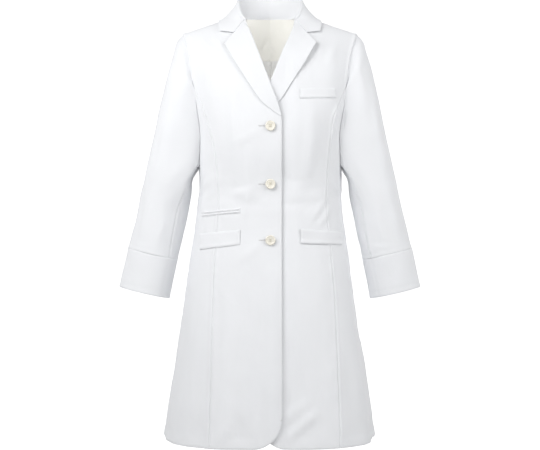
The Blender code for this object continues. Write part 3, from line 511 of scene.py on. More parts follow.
def shell(name, outer, inner, mat, inside=None, wrap=False):
    """A closed sheet of cloth between two grids, with UVs in metres for its weave."""
    if wrap:
        outer, inner = closed(outer), closed(inner)
    rows, cols = outer.shape[:2]
    half = rows * cols
    index = np.arange(half).reshape(rows, cols)
    cur, nxt = index[:, :-1], index[:, 1:]
    quads = [np.stack((cur[:-1], nxt[:-1], nxt[1:], cur[1:]), -1).reshape(-1, 4),
             np.stack((cur[:-1], cur[1:], nxt[1:], nxt[:-1]), -1).reshape(-1, 4) + half,
             np.stack((cur[0], cur[0] + half, nxt[0] + half, nxt[0]), -1),
             np.stack((cur[-1], nxt[-1], nxt[-1] + half, cur[-1] + half), -1)]
    if not wrap:
        for column, turn in ((index[:, 0], 1), (index[:, -1], -1)):
            strip = np.stack((column[:-1], column[1:], column[1:] + half, column[:-1] + half), -1)
            quads.append(strip[:, ::turn])
    points = np.concatenate((outer.reshape(-1, 3), inner.reshape(-1, 3)))
    mesh = bpy.data.meshes.new(name)
    mesh.from_pydata(points.tolist(), [], np.concatenate(quads).tolist())
    across, down = gaps(outer, 1), gaps(outer)
    cloth_uv(mesh, across, down)
    mesh.materials.append(mat)
    if inside:
        mesh.materials.append(inside)
        which = np.zeros(len(mesh.polygons), np.int32)
        which[len(quads[0]):2 * len(quads[0])] = 1
        mesh.polygons.foreach_set("material_index", which)
    smoothed(mesh, CLOTH_ANGLE, wrap)
    ob = linked(name, mesh)
    SHEETS.append((ob, float(across.sum(1).max()), float(down.sum(0).max()), float(area_of(outer))))
    return ob


def solid(name, vertices, faces, mat, limit=0.6):
    mesh = bpy.data.meshes.new(name)
    mesh.from_pydata([tuple(v) for v in vertices], [], faces)
    mesh.materials.append(mat)
    smoothed(mesh, limit)
    return linked(name, mesh)


def merged(parts):
    """One list of vertices and one of faces, from several."""
    verts, faces = [], []
    for v, f in parts:
        faces += [tuple(len(verts) + k for k in face) for face in f]
        verts += [tuple(p) for p in v]
    return verts, faces


def cut(target, tool):
    """Cut the tool out of the target's mesh and throw the tool away."""
    mod = target.modifiers.new("cut", "BOOLEAN")
    mod.operation = "DIFFERENCE"
    mod.solver = "EXACT"
    mod.use_self = True
    mod.object = tool
    done = target.evaluated_get(bpy.context.evaluated_depsgraph_get())
    mesh = bpy.data.meshes.new_from_object(done)
    target.modifiers.remove(mod)
    old = target.data
    target.data = mesh
    bpy.data.meshes.remove(old)
    bpy.data.objects.remove(tool, do_unlink=True)


def stands_for(ob, body, slot, *nodes):
    """Carry the piece with its body and hide the nodes that it stands for; the slot is not used."""
    if body == "torso":
        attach(ob, "torso")
    else:
        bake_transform(ob)
    if nodes:
        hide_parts(*nodes)
    return ob


STITCH_PITCH, STITCH_LENGTH, STITCH_WIDTH = 0.0029, 0.0020, 0.00030
SPINDLE = np.array(((0, 2, 4), (0, 4, 3), (0, 3, 5), (0, 5, 2), (1, 4, 2), (1, 3, 4), (1, 5, 3), (1, 2, 5)))


def stitches(name, body, path, n):
    """A row of machine stitches: small spindles of thread whose ends sink into the cloth."""
    spans = run(gaps(path))
    at = np.arange(STITCH_PITCH / 2, spans[-1], STITCH_PITCH)
    centre = sampled(at, spans, path)
    up = unit(sampled(at, spans, unit(n)))
    along = unit(sampled(at + 0.0005, spans, path) - sampled(at - 0.0005, spans, path))
    across = np.cross(along, up)
    ends, sunk = along * STITCH_LENGTH / 2, up * 0.00015
    verts = np.stack((centre - ends - sunk, centre + ends - sunk,
                      centre + across * STITCH_WIDTH, centre - across * STITCH_WIDTH,
                      centre + up * STITCH_WIDTH * 1.1, centre - up * STITCH_WIDTH), 1).reshape(-1, 3)
    faces = (np.arange(len(at))[:, None, None] * 6 + SPINDLE).reshape(-1, 3)
    return stands_for(solid(name, verts, faces.tolist(), THREAD, ALL_SMOOTH), body, "sewing_thread")


# ---------------------------------------------------------------- materials
def new_material(name):
    mat = bpy.data.materials.new(name)
    mat.use_nodes = True
    return mat, mat.node_tree, mat.node_tree.nodes["Principled BSDF"]


def put(tree, socket, value):
    """Link an output to the socket, or set the socket to a value."""
    if isinstance(value, bpy.types.NodeSocket):
        tree.links.new(value, socket)
    else:
        socket.default_value = value


def fill(tree, node, **inputs):
    for key, value in inputs.items():
        put(tree, node.inputs[key.replace("_", " ")], value)
    return node


def add(tree, kind, **inputs):
    return fill(tree, tree.nodes.new(kind), **inputs)


def combined(tree, operation, *values):
    node = tree.nodes.new("ShaderNodeMath")
    node.operation = operation
    for socket, value in zip(node.inputs, values):
        put(tree, socket, value)
    return node.outputs[0]


def weighted(tree, first, second, share):
    """first * share + second * (1 - share)"""
    return combined(tree, "MULTIPLY_ADD", first, share, combined(tree, "MULTIPLY", second, 1 - share))


def mixed(tree, factor, shade, colour):
    mix = tree.nodes.new("ShaderNodeMix")
    mix.data_type = "RGBA"
    for place, value in ((0, factor), (6, shade), (7, colour)):
        put(tree, mix.inputs[place], value)
    return mix.outputs[2]


def cloth(name, colour, shade, yarn=0.0011, crumple=0.5):
    """Drill: a diagonal weave, faint slubs, soft crumpling and a little unevenness in colour and shine."""
    mat, tree, shader = new_material(name)
    uv = tree.nodes.new("ShaderNodeUVMap")
    uv.uv_map = "cloth"
    waves = []
    for turn, size in ((0.9, yarn), (-0.65, yarn * 1.6)):
        place = add(tree, "ShaderNodeMapping", Vector=uv.outputs["UV"], Rotation=(0, 0, turn))
        wave = add(tree, "ShaderNodeTexWave", Vector=place.outputs["Vector"], Scale=0.314 / size,
                   Distortion=1.2, Detail=1.0)
        waves.append(wave.outputs["Fac"])
    weave = weighted(tree, waves[0], waves[1], 0.6)
    fine = add(tree, "ShaderNodeBump", Strength=0.35, Distance=0.00012, Height=weave)
    place = tree.nodes.new("ShaderNodeTexCoord").outputs["Object"]
    soft = add(tree, "ShaderNodeTexNoise", Vector=place, Scale=34.0, Detail=3.0, Roughness=0.5,
               Distortion=0.6)
    large = add(tree, "ShaderNodeBump", Strength=crumple, Distance=0.0011, Height=soft.outputs["Fac"],
                Normal=fine.outputs["Normal"])
    patch = add(tree, "ShaderNodeTexNoise", Vector=place, Scale=9.0, Detail=4.0, Roughness=0.6)
    stretch = add(tree, "ShaderNodeMapping", Vector=uv.outputs["UV"], Scale=(1.0, 0.18, 1.0))
    slub = add(tree, "ShaderNodeTexNoise", Vector=stretch.outputs["Vector"], Scale=900.0, Detail=2.0,
               Roughness=0.7)
    uneven = weighted(tree, patch.outputs["Fac"], slub.outputs["Fac"], 0.6)
    rough = add(tree, "ShaderNodeMapRange", Value=weave, To_Min=0.78, To_Max=0.92)
    fill(tree, shader, Base_Color=mixed(tree, uneven, shade, colour), Roughness=rough.outputs["Result"],
         Normal=large.outputs["Normal"], Sheen_Weight=0.12, Sheen_Roughness=0.4, Specular_IOR_Level=0.25)
    return mat


def mottled(name, colour, shade, scale, rough_low, rough_high, coat=0.0, sheen=0.0):
    mat, tree, shader = new_material(name)
    cloud = add(tree, "ShaderNodeTexNoise", Vector=tree.nodes.new("ShaderNodeTexCoord").outputs["Object"],
                Scale=scale, Detail=3.0, Distortion=1.0).outputs["Fac"]
    rough = add(tree, "ShaderNodeMapRange", Value=cloud, To_Min=rough_low, To_Max=rough_high)
    fill(tree, shader, Base_Color=mixed(tree, cloud, shade, colour), Roughness=rough.outputs["Result"],
         Coat_Weight=coat, Coat_Roughness=0.15, Sheen_Weight=sheen)
    return mat


def plain(name, grey, glow=0.0):
    mat, tree, shader = new_material(name)
    fill(tree, shader, Base_Color=(grey, grey, grey, 1), Roughness=0.9, Emission_Color=(1, 1, 1, 1),
         Emission_Strength=glow)
    return mat


WHITE = cloth("white_drill", (0.84, 0.85, 0.87, 1), (0.79, 0.80, 0.82, 1))
# the coat's inside: the white drill painted lighter and a touch cream, painted light standing in for the
# light that fills the inside of the coat
INSIDE_PAINTED_LIGHT = cloth("white_drill_inside_painted_light", (0.87, 0.87, 0.86, 1), (0.83, 0.83, 0.82, 1), crumple=0.7)
# facings: the white drill tinted cream; the cream is painted shade, the warm tone of the coat's shaded inside
CREAM_PAINTED_SHADE = cloth("off_white_facing_painted_shade", (0.86, 0.85, 0.81, 1), (0.81, 0.80, 0.75, 1))
POCKETING = cloth("pocketing", (0.80, 0.79, 0.74, 1), (0.75, 0.74, 0.69, 1), yarn=0.0007)
IVORY = mottled("ivory_polyester", (0.90, 0.87, 0.79, 1), (0.80, 0.76, 0.65, 1), 160.0, 0.22, 0.36, coat=0.25)
THREAD = mottled("white_thread", (0.82, 0.83, 0.84, 1), (0.70, 0.71, 0.73, 1), 2600.0, 0.5, 0.7, sheen=0.2)
HOLE_THREAD = mottled("buttonhole_thread", (0.86, 0.86, 0.86, 1), (0.76, 0.76, 0.76, 1), 1900.0, 0.5, 0.7)
BUTTON_THREAD = mottled("ivory_thread", (0.78, 0.74, 0.62, 1), (0.62, 0.58, 0.46, 1), 2600.0, 0.5, 0.7,
                        sheen=0.2)

# ---------------------------------------------------------------- body panels
UP, LOW, LONG, COLS = 34, 22, 120, 34   # steps: beside the armhole, under it, down to the hem, across
SLIT, JET_SLIT, HOLE_SLIT = 0.0012, 0.0010, 0.00018     # half widths of the slits
POCKET_DROP, JET_DROP = 0.0075, 0.0055                  # from the top of a welt to the slit behind it
CUT_FRONT, CUT_BACK = -0.19, -0.035                     # Y range of the cutters
WELT_LOWER_RIGHT = ((0.066, -0.4885), (0.158, -0.4970), (0.158, -0.5335), (0.066, -0.5215))
WELT_LOWER_LEFT = ((0.067, -0.4865), (0.160, -0.4930), (0.160, -0.5230), (0.067, -0.5195))
WELT_CHEST = ((0.066, -0.1780), (0.1455, -0.1745), (0.1455, -0.1965), (0.066, -0.2000))
JET_UPPER = ((0.066, -0.4405), (0.153, -0.4480), (0.153, -0.4531), (0.066, -0.4456))
JET_LOWER = ((0.066, -0.4461), (0.153, -0.4536), (0.153, -0.4590), (0.066, -0.4515))
BUTTONS = {word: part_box("button_" + word) for word in ("top", "middle", "bottom")}
HOLE_ENDS = (-0.0232, 0.0030)

ring_front = chart(spline(ARMHOLE_FRONT, UP))
ring_back = chart(spline(ARMHOLE_BACK, UP), True)
underarm = np.array([[math.pi / 2, chart([(station(UNDERARM_Z, 1), UNDERARM_Z)])[0, 1]]])
low_front = spaced(np.concatenate((chart(spline(LOW_FRONT, 12)), underarm)), LOW)
low_back = spaced(np.concatenate((chart(spline(LOW_BACK, 12), True), underarm)), LOW)
princess_back = chart(spline(PRINCESS_BACK, LONG), True)
side_z = np.linspace(UNDERARM_Z, HEM_Z, LONG + 1)
side_w = chart(np.stack((station(side_z, 1), side_z), -1))[:, 1]
side_seam = np.stack((np.full(LONG + 1, math.pi / 2), side_w), -1)


def hem_arc(start, end, count, z=HEM_Z):
    theta = np.linspace(start, end, count + 1)
    x = station(z, 1) * np.abs(np.sin(theta)) ** (2 / SQUARENESS)
    return np.stack((theta, chart(np.stack((x, np.full_like(x, z)), -1))[:, 1]), -1)


def shoulder_seam(count):
    x = np.linspace(NECK_X, TIP_X, count + 1)
    return np.stack((x, ridge(x)), -1)


def hem_line(start, end, count, trim=0.0):
    a = np.linspace(0, math.pi / 2, 17)
    turn = np.stack((start + CORNER * (1 - np.cos(a)), HEM_Z + trim + CORNER * (1 - np.sin(a))), -1)
    return chart(spaced(joined(turn, spaced([turn[-1], (end, HEM_Z + trim)], 10)), count))


def front_opening(roll):
    """Neck edge, roll line down to the break, then the front edge down to the rounded corner."""
    neck = chart(spaced([(NECK_X, NECK_Z), NECK_FRONT, roll[0]], 8))
    lower = chart(spaced([roll[-1], (OVERLAP_X, roll[-1][1] - 0.010), (OVERLAP_X, HEM_Z + CORNER)], LONG))
    return joined(neck, chart(spline(roll, UP - 8)), lower)


def prism(low, high, half):
    """Cutter for a slit from one (x, z) to another through everything in front of the coat's middle."""
    verts = [(x, y, z + s * half) for y in (CUT_FRONT, CUT_BACK) for x, z in (low, high) for s in (-1, 1)]
    faces = [(0, 1, 3, 2), (4, 6, 7, 5), (0, 4, 5, 1), (2, 3, 7, 6), (0, 2, 6, 4), (1, 5, 7, 3)]
    return verts, faces


def pocket_slit(corners, side, drop=POCKET_DROP, half=SLIT):
    (x0, z0), (x1, z1) = corners[:2]
    low, high = ((x0 + 0.004) * side, z0 - drop), ((x1 - 0.004) * side, z1 - drop)
    return prism(low, high, half) if side > 0 else prism(high, low, half)


def button_holes():
    heights = [low[2] / 2 + high[2] / 2 for low, high in BUTTONS.values()]
    return [prism((HOLE_ENDS[0], z), (HOLE_ENDS[1], z), HOLE_SLIT) for z in heights]


def refined(tw, sides):
    """Closer columns beside the seams, where the cloth turns over its allowances."""
    last = tw.shape[1] - 1
    near = np.array((0.15, 0.32, 0.5, 0.75, 1.4))
    at = np.concatenate([np.arange(last + 1.0)] + [near] * ("l" in sides) + [last - near] * ("r" in sides))
    at.sort()
    low = np.minimum(at.astype(int), last - 1)
    share = (at - low)[None, :, None]
    return tw[:, low] * (1 - share) + tw[:, low + 1] * share


def panel(name, body, tw, side, mat, node, seams="", under=False, rise=0.0, finish=(), cuts=(),
          slot="coat_cloth", inside=INSIDE_PAINTED_LIGHT, armhole=False):
    """One cut piece of the body, just back from its seams, with its edges finished and its slits made."""
    points, n = placed(refined(tw, seams), side, rise, under)
    points = seam_shape(inset(points, SEAM), n, seams)
    if armhole:
        off = (edge_distance(points)["r"] - 0.0022) / 0.0034
        points = points + n * (0.0017 * bell(off) * step(-0.180, -0.150, points[..., 2]))[..., None]
    for edge, steps, *share in finish:
        away = points if edge in "tb" else points.swapaxes(0, 1)
        line = away[0] if edge in "tl" else away[-1]
        points, n = finished(points, n, edge, steps, share[0](line) if share else None)
    ob = shell(name, points, points - n * PLY, mat, inside)
    if cuts:
        cut(ob, solid("slits", *merged(cuts), INSIDE_PAINTED_LIGHT, ALL_SMOOTH))
    return stands_for(ob, body, slot, node)


def below_armhole(line):
    return 0.12 + 0.88 * step(-0.162, -0.185, line[:, 2])


def front_edge(line):
    z = line[:, 2]
    return step(BREAK_Z, BREAK_Z - 0.012, z) * step(HEM_Z + CORNER, HEM_Z + CORNER + 0.006, z)


for side, word in WORDS.items():
    front = word + "_front"
    left = side > 0
    roll = ROLL_LINE[side]
    princess_front = chart(spline(PRINCESS_FRONT[side], LONG))
    if left:
        pockets = [pocket_slit(WELT_LOWER_LEFT, 1)]
        cuts = [pocket_slit(WELT_CHEST, 1)] + pockets
    else:
        pockets = [pocket_slit(WELT_LOWER_RIGHT, -1), pocket_slit(JET_UPPER, -1, JET_DROP, JET_SLIT)]
        cuts = pockets + button_holes()
    tw = coons(chart(shoulder_seam(COLS)), hem_line(OVERLAP_X, PRINCESS_FRONT[side][-1][0], COLS),
               front_opening(roll), joined(ring_front, princess_front))
    panel(word + "_front_cloth", front, tw, side, WHITE, word + "_front_panel", "rt", left,
          finish=(("t", TUCK), ("r", TUCK, below_armhole), ("b", HEM), ("l", EDGE, front_edge)),
          cuts=cuts, armhole=True)

    tw = coons(low_front, hem_arc(princess_front[-1, 0], math.pi / 2, LOW), princess_front, side_seam)
    panel(word + "_side_front_cloth", front, tw, side, WHITE, word + "_side_front_panel", "lrt",
          finish=(("l", PRESSED), ("r", TUCK), ("b", HEM)), cuts=pockets)

    neck = chart(spline(BACK_NECK + ((NECK_X, NECK_Z),), 12), True)
    top = joined(neck, chart(shoulder_seam(COLS - 12), True))
    centre_w = chart([(0.0, BACK_NECK[0][1]), (0.0, WAIST_BACK_Z), (0.0, HEM_Z)], True)[:, 1]
    down = np.concatenate((np.linspace(centre_w[0], centre_w[1], UP + 1),
                           np.linspace(centre_w[1], centre_w[2], LONG + 1)[1:]))
    tw = coons(top, hem_arc(math.pi, princess_back[-1, 0], COLS),
               np.stack((np.full(len(down), math.pi), down), -1), joined(ring_back, princess_back))
    panel(word + "_back_cloth", "torso", tw, side, WHITE, word + "_back_panel", "lrt", armhole=True,
          finish=([("l", TUCK)] if left else []) + [("r", TUCK, below_armhole), ("b", HEM)])

    tw = coons(low_back, hem_arc(princess_back[-1, 0], math.pi / 2, LOW), princess_back, side_seam)
    panel(word + "_side_back_cloth", "torso", tw, side, WHITE, word + "_side_back_panel", "lrt",
          finish=(("l", PRESSED), ("r", PRESSED), ("b", HEM)))

    trim = 0.0012
    edge_x = OVERLAP_X + trim
    tw = coons(chart(spaced([(edge_x, FACING_TOP_Z), (FACING_EDGE_X, FACING_TOP_Z)], 16)),
               hem_line(edge_x, FACING_EDGE_X, 16, trim),
               chart(spaced([(edge_x, FACING_TOP_Z), (edge_x, HEM_Z + CORNER)], 90)),
               chart(spaced([(FACING_EDGE_X, FACING_TOP_Z), (FACING_EDGE_X, HEM_Z + trim)], 90)))
    panel(word + "_facing_cloth", front, tw, side, CREAM_PAINTED_SHADE, word + "_front_facing", "", left, -FACING_DROP,
          cuts=() if left else button_holes(), slot="facing_cloth", inside=CREAM_PAINTED_SHADE)

    for body, start, end in ((front, 0.035, math.pi / 2), ("torso", math.pi, math.pi / 2)):
        points, n = placed(hem_arc(start, end, 160, HEM_Z + HEM_STITCH), side, 0.0, left and body == front)
        stitches(body + "_" + word + "_hem_stitches", body, points, n)

# ---------------------------------------------------------------- back neck facing
neck_line = ((-0.066, -0.0030), (-0.045, -0.0005), (-0.022, 0.0010), (0.0, 0.0020), (0.022, 0.0010),
             (0.045, -0.0005), (0.066, -0.0030))
lower_line = ((-0.112, -0.023), (-0.085, -0.056), (-0.045, -0.078), (0.0, -0.086), (0.045, -0.078),
              (0.085, -0.056), (0.112, -0.023))
top = chart(spline(neck_line, 60), True)
bottom = chart(spline(lower_line, 60), True)
top[:, 0] %= 2 * math.pi
bottom[:, 0] %= 2 * math.pi
tw = coons(top, bottom, spaced([top[0], bottom[0]], 26), spaced([top[-1], bottom[-1]], 26))
panel("back_neck_facing_cloth", "torso", tw, 1, CREAM_PAINTED_SHADE, "back_neck_facing", rise=-FACING_DROP,
      slot="facing_cloth", inside=CREAM_PAINTED_SHADE,
      finish=(("t", ((0.0030, 0.0, 0), (0.0060, 0.0, 0), (0.0090, -0.0010, 0))),))

# ---------------------------------------------------------------- sleeves
SLEEVE_ROWS = 110
SLEEVE_TOP_X, SLEEVE_TOP_Z = 0.2165, -0.065
SLEEVE_SLOPE, SLEEVE_INNER_X, SLEEVE_INNER_SLOPE = 0.2287, 0.1705, 0.2040
SLEEVE_TILT = 0.233
CAP_ROUNDING = 10
CUFF_ROWS, CUFF_STITCH_ROW = 24, 20
ring_tw = joined(ring_front, low_front, low_back[::-1], ring_back[::-1])[:-1]
ring = surface(ring_tw)
COUNT = len(ring)
FRONT_SEAM = UP + 2 * LOW // 5
BACK_SEAM = UP + 2 * LOW - 2 * LOW // 5
k = np.arange(COUNT)
around = 2 * math.pi * k / COUNT        # from the sleeve's outer side, toward the front


def inner_edge(level):
    """The sleeve's inner outline, and how it parts from the body below the elbow."""
    touching = -0.0034 * step(-0.358, -0.336, level) + 0.0042 * bell((level + 0.368) / 0.020)
    return SLEEVE_INNER_X + np.maximum(0.0, -0.340 - level) * SLEEVE_INNER_SLOPE + touching


def sleeve_section(level):
    """The smooth sleeve's outline at each level, squarer where it lies against the body."""
    outer = SLEEVE_TOP_X + (SLEEVE_TOP_Z - level) * SLEEVE_SLOPE
    inner = inner_edge(level)
    depth = 0.068 + (0.046 - 0.068) * step(-0.20, -0.60, level)
    c, s = np.cos(around), np.sin(around)
    square = 2 / (2 + 2.6 * step(-0.44, -0.27, level) * step(0.35, -0.35, c))
    x = np.sign(c) * np.abs(c) ** square * (outer - inner) / 2
    y = -np.sign(s) * np.abs(s) ** square * depth
    return np.stack(((outer + inner) / 2 + x, y, level + x * SLEEVE_TILT), -1)


def sleeve_grid():
    """The sleeve from the armhole ring down to the cuff."""
    v = np.linspace(0, 1, SLEEVE_ROWS + 1)[:, None] * np.ones((1, COUNT))
    head = 0.5 * (1 + np.cos(around))
    level = (ring[:, 2].min() - 0.012) * (1 - v) + CUFF_Z * v
    points = sleeve_section(level)
    rise = (SLEEVE_TOP_Z - level) * head * (1 - v) ** 1.5
    points[..., 2] += rise
    points[..., 0] -= rise * SLEEVE_SLOPE * head
    pull = ((1 - v) ** (4 + CAP_ROUNDING * head ** 2))[..., None]
    return points * (1 - pull) + (ring[None] + np.array((0.0012, 0, 0))) * pull


def body_side(p):
    """How far out the body reaches beside each point, with a little air for the sleeve against it."""
    z = np.clip(p[..., 2], -0.40, -0.20)
    depth = np.where(p[..., 1] < 0, station(z, 2), station(z, 3))
    share = np.clip(np.abs(p[..., 1]) / depth, 0, 1)
    return station(z, 1) * (1 - share ** SQUARENESS) ** (1 / SQUARENESS) + 0.0010


def sleeve_relief(p):
    """Soft creases along the sleeve, at the elbow and above the cuff."""
    z = p[..., 2]
    out = crumpled(p + 0.31, (
        (0.0026, (0.11, 0.11, 0.060), 21, bell((z + 0.37) / 0.075)),
        (0.0030, (0.045, 0.045, 0.16), 23, step(-0.06, -0.12, z)),
        (0.0010, (0.022, 0.022, 0.05), 29, step(-0.06, -0.14, z)),
        (0.0016, (0.030, 0.030, 0.012), 37, bell((z - CUFF_Z - 0.012) / 0.012))))
    return out + ridges(p, SLEEVE_CREASES) * (p[..., 1] < 0.0)


SLEEVE_CREASES = (
    ((0.196, -0.110), (0.222, -0.250), 0.0085, 0.0028),
    ((0.226, -0.150), (0.262, -0.360), 0.0110, 0.0030),
    ((0.206, -0.300), (0.250, -0.430), 0.0100, 0.0022),
    ((0.270, -0.390), (0.292, -0.520), 0.0100, 0.0024),
    ((0.242, -0.450), (0.262, -0.535), 0.0080, 0.0018),
    ((-0.194, -0.110), (-0.214, -0.260), 0.0085, 0.0026),
    ((-0.228, -0.200), (-0.252, -0.400), 0.0110, 0.0026),
    ((-0.212, -0.330), (-0.244, -0.400), 0.0080, 0.0018),
    ((-0.270, -0.400), (-0.296, -0.520), 0.0100, 0.0024),
    ((-0.240, -0.470), (-0.262, -0.540), 0.0075, 0.0018),
)
sleeve = sleeve_grid()
out = ring_normals(sleeve)
ring_n = normal(ring_tw)
inward = ring - ring.mean(0)
inward = unit(inward - ring_n * (inward * ring_n).sum(-1, keepdims=True))
cuff = sleeve_section(np.linspace(CUFF_Z, END_Z, CUFF_ROWS)[:, None])
cuff_out = ring_normals(cuff)
rows = np.arange(SLEEVE_ROWS + 1)[:, None]
begin = np.minimum(1.0, rows / 8)
fade = begin * (0.25 + 0.75 * step(0, 14, SLEEVE_ROWS - rows))
fullness = (0.0024 * bell((rows - 8.0) / 3.4) * (0.35 + 0.65 * np.cos(around / 2) ** 2)
            - 0.0022 * bell((rows - 1.8) / 1.8))
gap = np.abs((k - FRONT_SEAM + COUNT / 2) % COUNT - COUNT / 2)
cuff_groove = (0.0009 * bell(gap / 0.7)
               + 0.0005 * bell((np.arange(CUFF_ROWS)[:, None] - CUFF_STITCH_ROW) / 0.8))
for side, word in WORDS.items():
    body = word + "_sleeve"
    flip = np.array((side, 1.0, 1.0))
    gathers = 0.0007 * noise(sleeve * flip, (0.008, 0.008, 0.008), 51) * bell((rows - 2.0) / 3.0)
    moved = sleeve + out * (sleeve_relief(sleeve * flip) * fade + fullness + gathers)[..., None]
    z = moved[..., 2]
    nearest = body_side(moved)
    close = step(-0.45, -0.335, z) * step(0.45, -0.45, np.cos(around))
    aim = np.maximum(nearest, inner_edge(z + 0.012) - 0.0005 - 0.03 * step(-0.352, -0.328, z))
    moved[..., 0] += np.clip(aim - moved[..., 0], -0.026, 0) * close * begin
    moved[..., 0] += np.clip(nearest - moved[..., 0], 0, None) * begin
    for piece, first, last in (("top_sleeve", BACK_SEAM, FRONT_SEAM + COUNT),
                               ("under_sleeve", FRONT_SEAM, BACK_SEAM)):
        cols = np.arange(first, last + 1) % COUNT
        part, n = inset(moved[:, cols], SEAM, "lrb"), out[:, cols]
        part = seam_shape(part, n, "lrb")
        sewn = np.stack([ring[cols] + inward[cols] * a - ring_n[cols] * b
                         for a, b in ((0.0080, 0.0030), (0.0030, 0.0028), (0.0004, 0.0017))])
        part = np.concatenate((sewn, part[1:]))
        n = np.concatenate((np.stack([ring_n[cols]] * 3), n[1:]))
        if piece == "under_sleeve":
            share = step(3, 12, np.arange(len(part)))
            part, n = finished(part, n, "l", TUCK, share)
            part, n = finished(part, n, "r", TUCK, share)
        part, n = finished(part, n, "b", TUCK)
        ob = shell(word + "_" + piece + "_cloth", part * flip, (part - n * PLY) * flip, WHITE, INSIDE_PAINTED_LIGHT)
        stands_for(ob, body, "coat_cloth", word + "_" + piece)
    swell = 0.0008 * noise(cuff * flip + 0.7, (0.03, 0.03, 0.05), 31)
    band = cuff + cuff_out * (swell - cuff_groove)[..., None]
    band, n = closed(inset(band, SEAM, "t")), closed(cuff_out)
    stitches(word + "_cuff_stitches", body, band[CUFF_STITCH_ROW] * flip, n[CUFF_STITCH_ROW] * flip)
    band, n = finished(band, n, "t", EDGE[:2])
    band, n = finished(band, n, "b", CUFF_HEM)
    band[:, -1] = band[:, 0] = (band[:, 0] + band[:, -1]) / 2
    n[:, -1] = n[:, 0]
    ob = shell(word + "_cuff_cloth", band[:, :-1] * flip, (band - n * PLY)[:, :-1] * flip, WHITE, INSIDE_PAINTED_LIGHT,
               wrap=True)
    stands_for(ob, body, "coat_cloth", word + "_cuff")

# ---------------------------------------------------------------- collar
# (x, y, z) along the neck seam, the fold and the outer edge, from the back's middle to the front
COLLAR_NECK = ((0.0, 0.0500, 0.0102), (0.030, 0.0395, 0.0087), (0.055, 0.0268, 0.0068),
               (0.0730, 0.0040, 0.0060), (0.0685, -0.0165, 0.0020), (0.0595, -0.0300, -0.0062),
               (0.0520, -0.0370, -0.0115))
COLLAR_FOLD = ((0.0, 0.0660, 0.0530), (0.030, 0.0610, 0.0525), (0.054, 0.0440, 0.0500),
               (0.0690, 0.0180, 0.0450), (0.0700, -0.0050, 0.0310), (0.0645, -0.0260, 0.0075),
               (0.0560, -0.0420, -0.0130))
COLLAR_LEAF = ((0.0, 0.0800, -0.0100), (0.035, 0.0780, -0.0095), (0.070, 0.0640, -0.0085),
               (0.0960, 0.0380, -0.0062), (0.1115, 0.0060, -0.0055), (0.1160, -0.0240, -0.0210),
               (0.1110, -0.0440, -0.0435))
HALF_STATIONS, STAND_SEG, FOLD_SEG, FALL_SEG = 56, 10, 10, 24
NOTCH_AT = 15           # step of the fall at which the lapel's notch begins
NOTCH_POINT = surface(chart([NOTCH]))[0]
FOLD_RADIUS = 0.0034
SOFT_EDGE = ((0.0004, 0.0002, 45), (0.0006, 0.0006, 90), (0.0004, 0.0010, 135))


def body_tree():
    """The hanging coat's surface, to keep the collar off it."""
    theta = np.linspace(-math.pi, math.pi, 181)[:-1]
    tw = np.stack(np.meshgrid(theta, np.linspace(0.0, 2.0, 70)), -1)
    points = placed(tw, 1)[0]
    rows, cols = tw.shape[:2]
    index = np.arange(rows * cols).reshape(rows, cols)
    nxt = np.roll(index, -1, 1)
    quads = np.stack((index[:-1], index[1:], nxt[1:], nxt[:-1]), -1).reshape(-1, 4)
    return BVHTree.FromPolygons(points.reshape(-1, 3).tolist(), quads.tolist())


TREE = body_tree()
BODY_CENTRE = Vector((0, 0, -0.15))


def lifted(point, rise):
    """The point, moved out until it stands that far off the coat's surface."""
    point = Vector(point)
    for _ in range(3):
        hit, n, _, _ = TREE.find_nearest(point)
        if n.dot(hit - BODY_CENTRE) < 0:
            n = -n
        height = (point - hit).dot(n)
        if height < rise:
            point = point + n * (rise - height)
    return np.array(point)


def collar_station(neck, fold, leaf, share):
    """One line over the collar: up the stand, round the fold and down the fall."""
    up = unit(fold - neck)
    across = leaf - neck
    across = unit(across - up * (across @ up))
    radius = FOLD_RADIUS * (1 - 0.15 * share)
    crest = fold - up * min(radius, np.linalg.norm(fold - neck) * 0.5)
    line = [neck + (crest - neck) * k / STAND_SEG for k in range(STAND_SEG)]
    centre = crest + across * radius
    for k in range(FOLD_SEG + 1):
        a = math.pi * k / FOLD_SEG
        line.append(centre - across * radius * math.cos(a) + up * radius * math.sin(a))
    start, knee = line[-1], NOTCH_AT / FALL_SEG
    for k in range(1, FALL_SEG + 1):
        t = k / FALL_SEG
        straight = start + (leaf - start) * t
        if t < knee:
            gorge = start + (NOTCH_POINT - start) * t / knee
        else:
            gorge = NOTCH_POINT + (leaf - NOTCH_POINT) * (t - knee) / (1 - knee)
        line.append(straight + (gorge - straight) * share ** 12)
    free = STAND_SEG + FOLD_SEG
    return [p if i <= STAND_SEG else lifted(p, COLLAR_RISE if i > free else COLLAR_RISE * 0.8)
            for i, p in enumerate(line)]


curves = [spline(c, HALF_STATIONS) for c in (COLLAR_NECK, COLLAR_FOLD, COLLAR_LEAF)]
half = np.array([collar_station(curves[0][i], curves[1][i], curves[2][i], i / HALF_STATIONS)
                 for i in range(HALF_STATIONS + 1)])
collar = np.concatenate(((half * np.array((-1.0, 1, 1)))[:0:-1], half))
for _ in range(2):
    collar[1:-1] = 0.5 * collar[1:-1] + 0.25 * (collar[:-2] + collar[2:])
collar_out = grid_normals(collar)
if collar_out[HALF_STATIONS, -1, 1] < 0:
    collar_out = -collar_out
free = np.clip((np.arange(collar.shape[1]) - STAND_SEG - FOLD_SEG) / FALL_SEG, 0, 1)[None, :]
swing = 0.0016 * noise(collar, (0.035, 0.035, 0.035), 61) * np.minimum(1.0, 3 * free)
collar = inset(collar + collar_out * np.maximum(swing, -0.0006)[..., None], 0.0004, "tb")
GORGE = {side: collar[-1 if side > 0 else 0, STAND_SEG + 2:STAND_SEG + FOLD_SEG + NOTCH_AT + 1] * (side, 1, 1)
         for side in (1, -1)}
